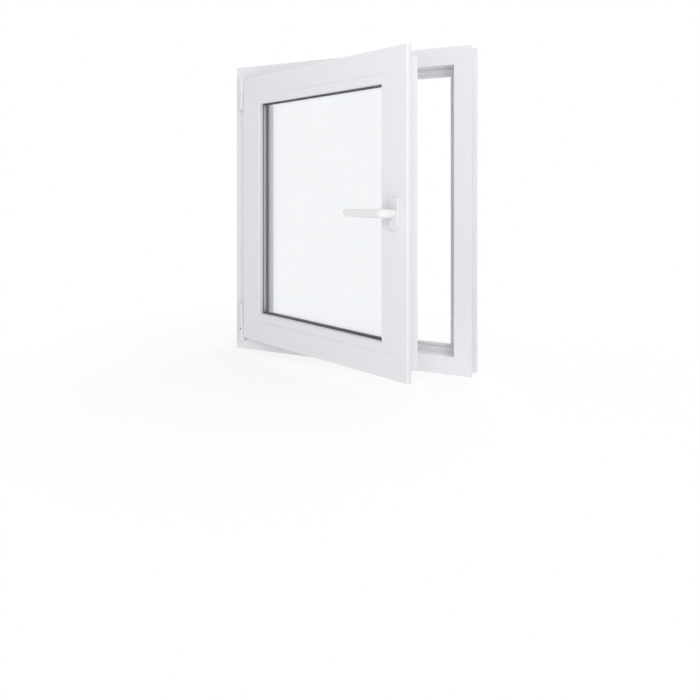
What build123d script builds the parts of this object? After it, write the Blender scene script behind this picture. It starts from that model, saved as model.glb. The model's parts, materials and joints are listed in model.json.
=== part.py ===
from build123d import *
import os
from math import acos, cos, pi, radians, sin, tan

# Casement window of white hollow plastic profile: a mitred outer frame, and a glazed sash
# that is hinged on the left, seen from the room, and opens into the room.
# Millimetres. +X points to the lock side, +Y outdoors and +Z up. The origin is the middle
# of the foot that the sill stands on. Every sash piece is drawn with the sash closed and
# is then swung about the hinge axis to the angle that the window stands open.

# ---------------------------------------------------------------- overall sizes
WINDOW_WIDTH = 735.0
WINDOW_HEIGHT = 860.0
OPEN_ANGLE = 20.5          # how far the sash stands open, degrees
HANDLE_TRAVEL = 90.0       # from lever level (unlocked) to lever down (locked), degrees

# ---------------------------------------------------------------- profile sizes
WALL = 2.8                 # outer walls of the hollow bars
WEB = 1.4                  # inner walls between the chambers
FRAME_FACE = 47.5          # width of the frame's room-side face
STOP_HEIGHT = 22.0         # how far the outer stop stands past the rebate floor
STOP_THICKNESS = 13.0
STOP_BEVEL = 4.0           # slope on the stop's weather edge
REAR_FOOT = 15.0           # depth of the foot along the frame's outdoor edge
FRONT_FLANGE = 4.0         # thin flange along the frame's room-side edge
PERIMETER_GROOVE = 10.0    # depth of the channel between flange and foot
SASH_DEPTH = 60.0
SASH_FACE = 59.0           # lip edge to the bead joint
LIP_THICKNESS = 13.0
LIP_RADIUS = 2.5           # rounding of the lip's front edge
OVERLAP = 8.0              # how far the lip covers the frame's face
OVERLAP_GAP = 4.0          # lip to frame face, taken up by the overlap gasket
STOP_GAP = 4.0             # sash to stop, taken up by the stop gasket
REBATE_GAP = 12.0          # sash to rebate floor, where the fittings work
PRE_CHAMBER = 6.5          # depth of the small chambers in front of the steel
REAR_CHAMBER = 7.5         # depth of the frame's chamber behind the steel
STEEL_DEPTH_SASH = 15.0    # depth of the sash's steel chamber
CORNER_RADIUS = 1.5        # small roundings along the bars

# ---------------------------------------------------------------- glazing sizes
BEAD_HEIGHT = 24.0
BEAD_SETBACK = 0.5         # bead front face behind the sash face
BEAD_BEVEL = 2.5           # slope of the bead towards the glass
BEAD_EDGE = 2.5            # depth of that slope
BEAD_WALL = 1.8
BEAD_TONGUE = 3.6          # thickness of the clip tongue
BEAD_TONGUE_DEPTH = 4.5    # how far the tongue goes into the sash
BEAD_TONGUE_PLACE = 8.5    # bead front to tongue
GLAZING_LEG = 17.0         # thickness of the sash's outer glazing leg
LEG_SLOPE = 6.0            # how far the leg slopes off towards outdoors
GLAZING_GASKET = 3.0
PANE = 4.0
CAVITY = 16.0
EDGE_CLEARANCE = 5.0       # glass edge to rebate floor
EDGE_SEAL = 4.0
SPACER_HEIGHT = 7.0
SPACER_WALL = 0.6
BLOCK_LENGTH = 80.0
BLOCK_INSET = 60.0         # glass corner to block

# ---------------------------------------------------------------- gasket sizes
GASKET_FOOT = 3.0          # width of the grooves that the gaskets are pressed into
GASKET_FOOT_DEPTH = 4.0
STOP_GASKET_WIDTH = 10.0
OVERLAP_GASKET_WIDTH = 6.0
GLAZING_GASKET_WIDTH = 9.0
GASKET_PROUD = 0.8         # glazing gaskets past the sight line

# ---------------------------------------------------------------- clearances
FIT = 0.1                  # pieces that are pushed or screwed together
RUN = 0.05                 # radial play of a shaft in its bore
FREE = 0.3                 # pieces that pass each other
STEEL_FIT = 0.3            # steel in its chamber

# ---------------------------------------------------------------- fittings
GROOVE_AXIS = 13.0         # lip back to the middle of the fittings groove
GROOVE_WIDTH = 12.0
GROOVE_DEPTH = 11.0
FACEPLATE_WIDTH = 16.0
FACEPLATE_THICKNESS = 2.4
FACEPLATE_INSET = 8.0      # faceplate end to the corner of the sash rebate
BACKSET = 15.5             # faceplate to spindle
STEEL_WALL = 1.5
STEEL_END_GAP = 10.0
SPINDLE = 7.0
GEAR_MODULE = 1.25
GEAR_TEETH = 15            # of the full circle that the sector is part of
PRESSURE_ANGLE = 25.0
BACKLASH = 0.24
TOOTH_ROOT_GAP = 0.25      # root clearance, in modules
FLANK_STEPS = 3            # straight steps that follow each curved flank
RACK_SPARE = 2             # rack teeth past each end of the travel
HUB_RADIUS = 6.5
GEARBOX_LENGTH = 90.0
GEARBOX_BEHIND = 10.5      # case past the spindle axis
GEARBOX_WALL = 1.5
ROD_WIDTH = 8.0
ROD_THICKNESS = 1.7
ROD_END = 24.0             # rod past its outer cams
CAM_RADIUS = 4.0
CAM_RIVET = 1.6
CAM_TIP_GAP = 1.4          # cam tip to keeper plate
CAM_CHAMFER = 0.8
CLAW_THICKNESS = 3.0
CLAW_HEIGHT = 8.5
CLAW_LENGTH = 14.0
CLAW_LEAD = 1.8            # lead-in slope of the claw
CLAW_BEHIND = 5.0          # claw below the locked cam's axis
KEEPER_PLATE = 2.5
KEEPER_WIDTH = 23.0
KEEPER_SCREW_LINE = 15.5   # claw front to the line of the screws
LOWER_KEEPER_MIDDLE = 132.0  # above the frame's foot
LOWER_KEEPER_LENGTH = 95.0
LOWER_KEEPER_CLAW = 13.0     # claw above the keeper's middle
UPPER_KEEPER_MIDDLE = 140.0  # below the frame's head
UPPER_KEEPER_LENGTH = 60.0

# ---------------------------------------------------------------- screws
SCREW_RADIUS = 2.0
SCREW_HEAD = 3.9
SCREW_LENGTH = 22.0
HANDLE_SCREW_RADIUS = 2.5
HANDLE_SCREW_HEAD = 4.6
HANDLE_SCREW_SPACING = 43.0
KEEPER_SCREW_END = 8.0
FACEPLATE_SCREW_END = 8.0
FACEPLATE_SCREW_MIDDLE = 75.0

# ---------------------------------------------------------------- hinges
AXIS_SIDE = 10.5           # hinge axis beside the lip's edge
AXIS_OUT = 14.0            # hinge axis in front of the frame's face
PIN_RADIUS = 4.0
BUSH_WALL = 1.2
BARREL_RADIUS = 6.5
BRACKET_PLATE = 3.0
BRACKET_WIDTH = 15.0
BRACKET_LENGTH = 48.0
BOSS_LENGTH = 24.0
BRACKET_WEB = 8.0
BRACKET_SCREW_PITCH = 10.5
BRACKET_SCREW_END = 8.5
LOWER_BRACKET_FOOT = 28.0  # lower bracket above the frame's bottom edge
UPPER_BRACKET_TOP = 37.0   # upper bracket below the frame's top edge
LOWER_BAND_LENGTH = 65.0
UPPER_BAND_LENGTH = 47.0
BAND_THICKNESS = 3.0
BAND_LEAF = 36.0           # depth of the band's leaf on the sash rebate
BAND_SCREW_DEPTH = 25.0    # band screws behind the frame's face
BAND_SCREW_END = 10.0
COVER_WALL = 1.2
COVER_SIDE = 9.0           # half width of a hinge cover
COVER_OUT = 7.8            # hinge cover in front of the axis
COVER_RADIUS = 6.5
SLEEVE_RADIUS = 7.5
ADJUSTER_RADIUS = 2.4
ADJUSTER_HEIGHT = 11.0     # adjusting screw below the top of the lower bracket

# ---------------------------------------------------------------- handle
ROSETTE_WIDTH = 30.0
ROSETTE_LENGTH = 78.0
ROSETTE_HEIGHT = 10.0
ROSETTE_CORNER = 13.0
ROSETTE_EDGE = 3.0
ROSETTE_WALL = 1.6
ROSETTE_BASE = 4.0
COLLAR_RADIUS = 11.0
NECK_RADIUS = 10.4
LEVER_OUT = 43.0           # lever centre line in front of the sash
LEVER_LENGTH = 131.0       # spindle axis to lever tip
LEVER_BEND = 13.5          # centre line radius of the elbow
LEVER_HEIGHT = 21.0
LEVER_THICKNESS = 13.0
LEVER_WIDEST = 60.0        # from the spindle to the lever's widest section
LEVER_TIP_HEIGHT = 17.5
LEVER_TIP_THICKNESS = 10.5
LEVER_TIP_LENGTH = 7.0     # rounded end of the lever
SPINDLE_IN_NECK = 24.0

# ---------------------------------------------------------------- frame fixing and drainage
FIXING_RADIUS = 3.25
FIXING_FROM_END = 200.0
DRAIN_LENGTH = 30.0
DRAIN_HEIGHT = 4.0
DRAIN_OFFSET = 190.0       # drains each side of the middle
DRAIN_CAP_LENGTH = 42.0
DRAIN_CAP_HEIGHT = 14.0
DRAIN_CAP_DEPTH = 5.0
DRAIN_CAP_WALL = 1.5
DRAIN_CAP_SLOPE = 4.0      # how far the hood slopes off at the top
DRAIN_CAP_MOUTH = 7.5      # height of the opening under the hood
DRAIN_CAP_PLACE = 26.0     # cap middle above the frame's bottom edge

# ---------------------------------------------------------------- worked out from the above
SASH_PROUD = LIP_THICKNESS + OVERLAP_GAP
STOP_FACE = SASH_DEPTH - SASH_PROUD + STOP_GAP
FRAME_DEPTH = STOP_FACE + STOP_THICKNESS
LIP_WIDTH = OVERLAP + REBATE_GAP
SASH_INSET = FRAME_FACE - OVERLAP
SASH_WIDTH = WINDOW_WIDTH - 2 * SASH_INSET
SASH_HEIGHT = WINDOW_HEIGHT - 2 * SASH_INSET
MIDDLE = WINDOW_HEIGHT / 2
Y_FACE = REAR_FOOT / 2 - FRAME_DEPTH
Y_SASH = Y_FACE - SASH_PROUD
SIGHT_LINE = SASH_FACE + BEAD_HEIGHT
GLASS_EDGE = SASH_FACE + EDGE_CLEARANCE
LEG_FACE = SASH_DEPTH - GLAZING_LEG
OUTER_PANE_FACE = LEG_FACE - GLAZING_GASKET - PANE
INNER_PANE_FACE = OUTER_PANE_FACE - CAVITY - PANE
BEAD_BACK = INNER_PANE_FACE - GLAZING_GASKET
AXIS_X = -WINDOW_WIDTH / 2 + SASH_INSET - AXIS_SIDE
AXIS_Y = Y_FACE - AXIS_OUT
GROOVE_MIDDLE = LIP_THICKNESS + GROOVE_AXIS
FACEPLATE_BED = LIP_WIDTH + FACEPLATE_THICKNESS + FIT
GROOVE_FLOOR = LIP_WIDTH + GROOVE_DEPTH
ROD_FACE = FACEPLATE_BED + FREE
ROD_BACK = ROD_FACE + ROD_THICKNESS
SPINDLE_PLACE = LIP_WIDTH + BACKSET
PITCH_RADIUS = GEAR_MODULE * GEAR_TEETH / 2
ROD_TRAVEL = PITCH_RADIUS * radians(HANDLE_TRAVEL)
X_REBATE = SASH_WIDTH / 2 - LIP_WIDTH
X_FLOOR = WINDOW_WIDTH / 2 - FRAME_FACE
X_SPINDLE = SASH_WIDTH / 2 - SPINDLE_PLACE
Y_GROOVE = Y_SASH + GROOVE_MIDDLE
CAM_TIP = X_FLOOR - KEEPER_PLATE - CAM_TIP_GAP
LOWER_BRACKET_TOP = LOWER_BRACKET_FOOT + BRACKET_LENGTH
UPPER_BRACKET_FOOT = WINDOW_HEIGHT - UPPER_BRACKET_TOP - BRACKET_LENGTH

KEEPERS = (   # middle height, length, claw above the middle
    (LOWER_KEEPER_MIDDLE, LOWER_KEEPER_LENGTH, LOWER_KEEPER_CLAW),
    (WINDOW_HEIGHT - UPPER_KEEPER_MIDDLE, UPPER_KEEPER_LENGTH, 0.0),
)
SIDES = {"bottom": 0, "lock": -90, "top": 180, "hinge": 90}
SECTION_PLANE = Plane(origin=(0, 0, 0), x_dir=(0, 0, 1), z_dir=(-1, 0, 0))


# ---------------------------------------------------------------- helpers
def panel(low, high):
    """A flat rectangle between two opposite corners."""
    width, height = high[0] - low[0], high[1] - low[1]
    return Pos((low[0] + high[0]) / 2, (low[1] + high[1]) / 2) * Rectangle(width, height)


def block(low, high):
    """A box between two opposite corners."""
    size = [b - a for a, b in zip(low, high)]
    middle = [(a + b) / 2 for a, b in zip(low, high)]
    return Pos(*middle) * Box(*size)


def round_corners(face, corners, radius):
    """Round the corners of a flat face that lie at the given points."""
    chosen = [face.vertices().sort_by_distance((x, y, 0))[0] for x, y in corners]
    return fillet(chosen, radius)


def outline(*points):
    return make_face(Polyline(*points, close=True))


def mitred_bar(section, length):
    """Extrude a section, drawn as (inward, depth), along X and mitre both ends."""
    bar = extrude(SECTION_PLANE * section, amount=length / 2, both=True)
    for end in (-1, 1):
        mitre = Plane(origin=(end * length / 2, 0, 0), z_dir=(end, 0, 1))
        bar = split(bar, bisect_by=mitre, keep=Keep.BOTTOM)
    return bar


def square_bar(section, length):
    """Extrude a section along X with square ends."""
    return extrude(SECTION_PLANE * section, amount=length / 2, both=True)


def on_side(bar, side, width, height, depth):
    """Turn a bar that was drawn along X to one side of a width by height rectangle."""
    reach = height / 2 if side in ("bottom", "top") else width / 2
    return Pos(0, depth, MIDDLE) * Rot(0, SIDES[side], 0) * Pos(0, 0, -reach) * bar


def side_length(side, width, height):
    return width if side in ("bottom", "top") else height


def frame_bars(section):
    """One mitred bar for each side of the frame."""
    bars = {}
    for side in SIDES:
        bar = mitred_bar(section, side_length(side, WINDOW_WIDTH, WINDOW_HEIGHT))
        bars[side] = on_side(bar, side, WINDOW_WIDTH, WINDOW_HEIGHT, Y_FACE)
    return bars


def sash_bars(section):
    """One mitred bar for each side of the closed sash."""
    bars = {}
    for side in SIDES:
        bar = mitred_bar(section, side_length(side, SASH_WIDTH, SASH_HEIGHT))
        bars[side] = on_side(bar, side, SASH_WIDTH, SASH_HEIGHT, Y_SASH)
    return bars


def swing(part):
    """Turn a piece of the closed sash about the hinge axis to where the sash stands."""
    return Pos(AXIS_X, AXIS_Y, 0) * Rot(0, 0, -OPEN_ANGLE) * Pos(-AXIS_X, -AXIS_Y, 0) * part


def along(origin, direction, part):
    """Place a part, drawn along +Z, so that it points in a direction."""
    return Plane(origin=origin, z_dir=direction).location * part


def rod_shape(radius, length):
    """A round bar from the origin along +Z."""
    return Pos(0, 0, length / 2) * Cylinder(radius, length)


def countersunk(radius, head, length):
    """A countersunk screw: the top of its head at the origin, pointing along -Z."""
    rise = head - radius
    cone = Pos(0, 0, -rise / 2) * Cone(radius, head, rise)
    return cone + Pos(0, 0, -length / 2) * Cylinder(radius, length)


def bore(radius, head, length, play):
    """The hole for such a screw."""
    return countersunk(radius + play, head + play, length + play)


def plan(face, low, high):
    """A prism from a face drawn in plan: x to the lock side, y to the room, from the axis."""
    level = Plane(origin=(AXIS_X, AXIS_Y, high), x_dir=(1, 0, 0), z_dir=(0, 0, -1))
    return extrude(level * face, amount=high - low)


def cut_all(part, tools):
    for tool in tools:
        part -= tool
    return part


# ---------------------------------------------------------------- frame profile
def frame_section():
    """Frame bar, (inward, depth): room face at depth 0, outer edge at inward 0."""
    tip = FRAME_FACE + STOP_HEIGHT
    face = panel((0, 0), (FRAME_FACE, FRAME_DEPTH)) + panel((0, STOP_FACE), (tip, FRAME_DEPTH))
    face -= panel((0, FRONT_FLANGE), (PERIMETER_GROOVE, FRAME_DEPTH - REAR_FOOT))
    bevel = face.vertices().sort_by_distance((tip, FRAME_DEPTH, 0))[0]
    face = chamfer(bevel, STOP_BEVEL)
    face = round_corners(face, ((FRAME_FACE, 0), (tip, STOP_FACE)), CORNER_RADIUS)
    foot = stop_gasket_foot()
    face -= panel((foot - GASKET_FOOT / 2, STOP_FACE),
                  (foot + GASKET_FOOT / 2, STOP_FACE + GASKET_FOOT_DEPTH))
    for low, high in frame_chambers():
        face -= panel(low, high)
    return face


def stop_gasket_foot():
    """How far inward the middle of the stop gasket's foot lies."""
    return FRAME_FACE + STOP_HEIGHT - STOP_GASKET_WIDTH / 2


def frame_steel_chamber():
    """Low and high corner of the chamber that the frame's steel fills."""
    inner, outer = PERIMETER_GROOVE + WALL, FRAME_FACE - WALL
    front = WALL + 2 * (PRE_CHAMBER + WEB)
    back = STOP_FACE - WALL - REAR_CHAMBER - WEB
    return (inner, front), (outer, back)


def frame_chambers():
    """The hollow chambers of a frame bar."""
    (inner, front), (outer, back) = frame_steel_chamber()
    rear = STOP_FACE + WALL
    last = FRAME_DEPTH - WALL
    first = WALL
    second = WALL + PRE_CHAMBER + WEB
    return (
        ((inner, first), (outer, first + PRE_CHAMBER)),
        ((inner, second), (outer, second + PRE_CHAMBER)),
        ((inner, front), (outer, back)),
        ((inner, back + WEB), (outer, back + WEB + REAR_CHAMBER)),
        ((WALL, FRAME_DEPTH - REAR_FOOT + WALL), (inner - WEB, last)),
        ((inner, rear), (outer, last)),
        ((outer + WEB, rear), (stop_gasket_foot() - GASKET_FOOT / 2 - WEB, last)),
    )


def fixing_holes():
    """The holes that frame screws go through, in both jambs."""
    depth = frame_steel_depth()
    tools = []
    for side in (-1, 1):
        for height in (FIXING_FROM_END, WINDOW_HEIGHT - FIXING_FROM_END):
            middle = (side * (WINDOW_WIDTH / 2 - FRAME_FACE / 2), Y_FACE + depth, height)
            hole = Rot(0, 90, 0) * Cylinder(FIXING_RADIUS, FRAME_FACE + STOP_HEIGHT)
            tools.append(Pos(*middle) * hole)
    return tools


def frame_steel_depth():
    (_, front), (_, back) = frame_steel_chamber()
    return (front + back) / 2


def drain_slots():
    """Slots that let water out: from the rebate floor, and through the outdoor face."""
    tools = []
    (_, _), (_, back) = frame_steel_chamber()
    middle = back + WEB + REAR_CHAMBER / 2
    for side in (-1, 1):
        x = side * DRAIN_OFFSET
        floor = (x, Y_FACE + middle, FRAME_FACE - WALL / 2)
        face = (x, Y_FACE + FRAME_DEPTH - WALL / 2, DRAIN_CAP_PLACE)
        tools.append(Pos(*floor) * Box(DRAIN_LENGTH, DRAIN_HEIGHT, 2 * WALL))
        tools.append(Pos(*face) * Box(DRAIN_LENGTH, 2 * WALL, DRAIN_HEIGHT))
    return tools


def channel(low, high):
    """A steel channel: three walls of a rectangle, open towards the glass."""
    inner = panel((low[0] + STEEL_WALL, low[1] + STEEL_WALL), (high[0], high[1] - STEEL_WALL))
    return panel(low, high) - inner


def frame_steel():
    """The four steel channels of the frame."""
    low, high = frame_steel_chamber()
    low = (low[0] + STEEL_FIT, low[1] + STEEL_FIT)
    high = (high[0] - STEEL_FIT, high[1] - STEEL_FIT)
    bars = []
    for side in SIDES:
        length = side_length(side, WINDOW_WIDTH, WINDOW_HEIGHT) - 2 * (FRAME_FACE + STEEL_END_GAP)
        bar = square_bar(channel(low, high), length)
        bars.append(on_side(bar, side, WINDOW_WIDTH, WINDOW_HEIGHT, Y_FACE))
    return bars


# ---------------------------------------------------------------- sash profile
def sash_section():
    """Sash bar, (inward, depth): room face at depth 0, lip edge at inward 0."""
    face = panel((0, 0), (SASH_FACE, LIP_THICKNESS))
    face += panel((LIP_WIDTH, 0), (SASH_FACE, SASH_DEPTH))
    face += panel((LIP_WIDTH, LEG_FACE), (SIGHT_LINE, SASH_DEPTH))
    face = round_corners(face, ((0, 0),), LIP_RADIUS)
    face = round_corners(face, ((0, LIP_THICKNESS), (SIGHT_LINE, LEG_FACE)), CORNER_RADIUS)
    face -= outline((SIGHT_LINE, LEG_FACE + CORNER_RADIUS), (SIGHT_LINE, SASH_DEPTH),
                    (SIGHT_LINE - LEG_SLOPE, SASH_DEPTH))
    face -= panel((LIP_WIDTH, GROOVE_MIDDLE - FACEPLATE_WIDTH / 2 - FIT),
                  (FACEPLATE_BED, GROOVE_MIDDLE + FACEPLATE_WIDTH / 2 + FIT))
    face -= panel((FACEPLATE_BED, GROOVE_MIDDLE - GROOVE_WIDTH / 2),
                  (GROOVE_FLOOR, GROOVE_MIDDLE + GROOVE_WIDTH / 2))
    tongue = BEAD_SETBACK + BEAD_TONGUE_PLACE
    face -= panel((SASH_FACE - BEAD_TONGUE_DEPTH - FIT, tongue - FIT),
                  (SASH_FACE, tongue + BEAD_TONGUE + FIT))
    foot = overlap_gasket_foot()
    face -= panel((foot - GASKET_FOOT / 2, LIP_THICKNESS - GASKET_FOOT_DEPTH),
                  (foot + GASKET_FOOT / 2, LIP_THICKNESS))
    foot = glazing_gasket_foot()
    face -= panel((foot - GASKET_FOOT / 2, LEG_FACE),
                  (foot + GASKET_FOOT / 2, LEG_FACE + GASKET_FOOT_DEPTH))
    for low, high in sash_chambers():
        face -= panel(low, high)
    return face


def overlap_gasket_foot():
    return OVERLAP / 2


def glazing_gasket_foot():
    return SIGHT_LINE - GLAZING_GASKET_WIDTH / 2


def sash_steel_chamber():
    """Low and high corner of the chamber that the sash's steel fills."""
    front = GROOVE_MIDDLE + FACEPLATE_WIDTH / 2 + WALL
    return (LIP_WIDTH + WALL, front), (SASH_FACE - WALL, front + STEEL_DEPTH_SASH)


def sash_chambers():
    """The hollow chambers of a sash bar."""
    (inner, front), (outer, back) = sash_steel_chamber()
    groove_front = GROOVE_MIDDLE - GROOVE_WIDTH / 2
    pre = SASH_FACE - BEAD_TONGUE_DEPTH - WALL
    second = WALL + PRE_CHAMBER + WEB
    lip = overlap_gasket_foot() + GASKET_FOOT / 2 + WEB
    leg = LEG_FACE + GASKET_FOOT_DEPTH + WEB
    last = SASH_DEPTH - WALL
    return (
        ((lip, WALL), (LIP_WIDTH - WEB, LIP_THICKNESS - WALL)),
        ((LIP_WIDTH, WALL), (pre, WALL + PRE_CHAMBER)),
        ((LIP_WIDTH + WEB, second), (pre, groove_front - 2 * WALL)),
        ((GROOVE_FLOOR + WALL, groove_front - WALL), (outer, front - WEB)),
        ((inner, front), (outer, back)),
        ((inner, back + WEB), (outer, last)),
        ((outer + WEB, leg), (SIGHT_LINE - LEG_SLOPE - WALL, last)),
    )


def sash_steel():
    """The four steel channels of the sash."""
    low, high = sash_steel_chamber()
    low = (low[0] + STEEL_FIT, low[1] + STEEL_FIT)
    high = (high[0] - STEEL_FIT, high[1] - STEEL_FIT)
    bars = []
    for side in SIDES:
        length = side_length(side, SASH_WIDTH, SASH_HEIGHT) - 2 * (SASH_FACE + STEEL_END_GAP)
        bar = square_bar(channel(low, high), length)
        bars.append(on_side(bar, side, SASH_WIDTH, SASH_HEIGHT, Y_SASH))
    return bars


# ---------------------------------------------------------------- gaskets
def gasket_foot(middle, seat, into):
    """The part of a gasket that is pressed into its groove, going from the seat."""
    half = GASKET_FOOT / 2 - FIT
    ends = sorted((seat, seat + into * (GASKET_FOOT_DEPTH - FIT)))
    return panel((middle - half, ends[0]), (middle + half, ends[1]))


def stop_gasket_section():
    """Seal on the stop: a lip that leans to the sash, closed to its working shape."""
    tip = FRAME_FACE + STOP_HEIGHT
    low = tip - STOP_GASKET_WIDTH
    top = STOP_FACE - STOP_GAP + FREE
    base = STOP_FACE - GASKET_PROUD
    crest = (low + tip) / 2
    face = make_face(Polyline((low, STOP_FACE), (tip, STOP_FACE), (tip, base))
                     + ThreePointArc((tip, base), (crest + GASKET_FOOT / 2, top), (crest, top))
                     + Polyline((crest, top), (low, base), (low, STOP_FACE)))
    return face + gasket_foot(stop_gasket_foot(), STOP_FACE, 1)


def overlap_gasket_section():
    """Seal behind the lip of the sash."""
    low = overlap_gasket_foot() - OVERLAP_GASKET_WIDTH / 2
    high = low + OVERLAP_GASKET_WIDTH
    top = LIP_THICKNESS + OVERLAP_GAP - FREE
    base = LIP_THICKNESS + GASKET_PROUD
    crest = (low + high) / 2
    face = make_face(Polyline((high, base), (high, LIP_THICKNESS), (low, LIP_THICKNESS), (low, base))
                     + ThreePointArc((low, base), (low + GASKET_PROUD, top - GASKET_PROUD), (crest, top))
                     + Polyline((crest, top), (high, base)))
    return face + gasket_foot(overlap_gasket_foot(), LIP_THICKNESS, -1)


def bead_gasket_section():
    """Seal between the bead and the glass, with a lip that shows as a thin line."""
    high = SIGHT_LINE + GASKET_PROUD
    face = panel((high - GLAZING_GASKET_WIDTH, BEAD_BACK), (high, INNER_PANE_FACE))
    return face + gasket_foot(glazing_gasket_foot(), BEAD_BACK, -1)


def outer_gasket_section():
    """Seal between the outer glazing leg and the glass."""
    high = SIGHT_LINE + GASKET_PROUD
    face = panel((high - GLAZING_GASKET_WIDTH, LEG_FACE - GLAZING_GASKET), (high, LEG_FACE))
    return face + gasket_foot(glazing_gasket_foot(), LEG_FACE, 1)


def overlap_gasket():
    """The sash's lip seal, left out where the hinge bands come through behind the lip."""
    bars = sash_bars(overlap_gasket_section())
    lip = -WINDOW_WIDTH / 2 + SASH_INSET
    for low, high in band_spans():
        gap = block((lip - FREE, Y_SASH + LIP_THICKNESS - GASKET_FOOT_DEPTH, low - FREE),
                    (lip + LIP_WIDTH, Y_FACE, high + FREE))
        bars["hinge"] -= gap
    return bars


# ---------------------------------------------------------------- glazing
def bead_section():
    """Hollow glazing bead with a sloping edge and the tongue that clips into the sash."""
    low, high = SASH_FACE, SIGHT_LINE
    front = BEAD_SETBACK
    face = outline((low, front), (high - BEAD_BEVEL, front), (high, front + BEAD_EDGE),
                   (high, BEAD_BACK), (low, BEAD_BACK))
    face = round_corners(face, ((high - BEAD_BEVEL, front),), BEAD_EDGE)
    face = round_corners(face, ((low, front),), BEAD_SETBACK)
    tongue = front + BEAD_TONGUE_PLACE
    face += panel((low - BEAD_TONGUE_DEPTH, tongue), (low, tongue + BEAD_TONGUE))
    foot = glazing_gasket_foot()
    face -= panel((foot - GASKET_FOOT / 2, BEAD_BACK - GASKET_FOOT_DEPTH),
                  (foot + GASKET_FOOT / 2, BEAD_BACK))
    inner_end = high - BEAD_BEVEL
    bottom = BEAD_BACK - GASKET_FOOT_DEPTH - BEAD_WALL
    face -= outline((low + BEAD_WALL, front + 2 * BEAD_WALL),
                    (inner_end - BEAD_WALL, front + 2 * BEAD_WALL),
                    (high - BEAD_WALL, front + BEAD_EDGE + 2 * BEAD_WALL),
                    (high - BEAD_WALL, bottom), (low + BEAD_WALL, bottom))
    return face


def pane(depth):
    """One sheet of glass at a depth behind the sash's front."""
    half_width = SASH_WIDTH / 2 - GLASS_EDGE
    half_height = SASH_HEIGHT / 2 - GLASS_EDGE
    return block((-half_width, Y_SASH + depth, MIDDLE - half_height),
                 (half_width, Y_SASH + depth + PANE, MIDDLE + half_height))


def filled(inset, low, high):
    """A block inside the closed sash's outline, from one depth to another."""
    half = SASH_WIDTH / 2 - inset
    rise = SASH_HEIGHT / 2 - inset
    return block((-half, Y_SASH + low, MIDDLE - rise), (half, Y_SASH + high, MIDDLE + rise))


def ring(inset, width, low, high):
    """A rectangular ring of one piece, as bent from one bar."""
    return filled(inset, low, high) - filled(inset + width, low, high)


def edge_seal():
    """Sealant round the rim of the glass unit, between the panes."""
    return ring(GLASS_EDGE, EDGE_SEAL, INNER_PANE_FACE + PANE, OUTER_PANE_FACE)


def spacer_bar():
    """Hollow bar that keeps the panes apart, bent from one length."""
    inset = GLASS_EDGE + EDGE_SEAL
    low = INNER_PANE_FACE + PANE
    hollow = ring(inset + SPACER_WALL, SPACER_HEIGHT - 2 * SPACER_WALL,
                  low + SPACER_WALL, OUTER_PANE_FACE - SPACER_WALL)
    return ring(inset, SPACER_HEIGHT, low, OUTER_PANE_FACE) - hollow


def glazing_blocks():
    """Two packers on each side, between the glass edge and the rebate floor."""
    section = panel((SASH_FACE, INNER_PANE_FACE), (GLASS_EDGE, LEG_FACE - GLAZING_GASKET))
    blocks = []
    for side in SIDES:
        length = side_length(side, SASH_WIDTH, SASH_HEIGHT)
        shift = length / 2 - GLASS_EDGE - BLOCK_INSET - BLOCK_LENGTH / 2
        for end in (-1, 1):
            packer = Pos(end * shift, 0, 0) * square_bar(section, BLOCK_LENGTH)
            blocks.append(on_side(packer, side, SASH_WIDTH, SASH_HEIGHT, Y_SASH))
    return blocks


# ---------------------------------------------------------------- hinges
def band_spans():
    """Low and high end of the lower and the upper band."""
    lower = LOWER_BRACKET_TOP + FREE
    upper = UPPER_BRACKET_FOOT - FREE
    return (lower, lower + LOWER_BAND_LENGTH), (upper - UPPER_BAND_LENGTH, upper)


def bracket_section():
    """Frame bracket in plan: plate on the frame's face."""
    half = BRACKET_WIDTH / 2
    return panel((-half, -AXIS_OUT), (half, BRACKET_PLATE - AXIS_OUT))


def boss_section():
    """The boss that holds the pin, on its web."""
    web = panel((-BRACKET_WEB / 2, BRACKET_PLATE - AXIS_OUT), (BRACKET_WEB / 2, 0))
    return web + Circle(BARREL_RADIUS)


def bracket(low, boss_low, boss_high, screws):
    """A frame bracket: its plate, boss, pin hole and countersunk holes."""
    part = plan(bracket_section(), low, low + BRACKET_LENGTH)
    part += plan(boss_section(), boss_low, boss_high)
    part -= plan(Circle(PIN_RADIUS + FIT), boss_low, boss_high)
    for place in screws:
        part -= bracket_screw_at(place, FIT)
    return part


def bracket_screw_at(height, play):
    head = (AXIS_X, Y_FACE - BRACKET_PLATE, height)
    return along(head, (0, -1, 0), bore(SCREW_RADIUS, SCREW_HEAD, SCREW_LENGTH, play))


def bracket_screw_heights():
    """Heights of the lower and of the upper bracket's screws."""
    lower = LOWER_BRACKET_FOOT + BRACKET_SCREW_END
    upper = UPPER_BRACKET_FOOT + BRACKET_LENGTH - BRACKET_SCREW_END
    return (lower, lower + BRACKET_SCREW_PITCH), (upper, upper - BRACKET_SCREW_PITCH)


def cover_section(shrink):
    """Hinge cover in plan, from the frame's face round the boss."""
    side, top = COVER_SIDE - shrink, COVER_OUT - shrink
    face = panel((-side, -AXIS_OUT), (side, top))
    return round_corners(face, ((-side, top), (side, top)), COVER_RADIUS - shrink)


def cover(low, high, closed_end):
    """A hinge cover: a shell that is open to the frame, with one closed end."""
    cavity = plan(cover_section(COVER_WALL), low, high)
    if closed_end == "low":
        return plan(cover_section(0), low - COVER_WALL, high) - cavity
    return plan(cover_section(0), low, high + COVER_WALL) - cavity


def adjuster_tool(depth):
    """The hole for the adjusting screw of the lower bracket."""
    height = LOWER_BRACKET_TOP - ADJUSTER_HEIGHT
    front = (AXIS_X, AXIS_Y - COVER_OUT - FREE, height)
    return along(front, (0, 1, 0), rod_shape(ADJUSTER_RADIUS, depth))


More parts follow.
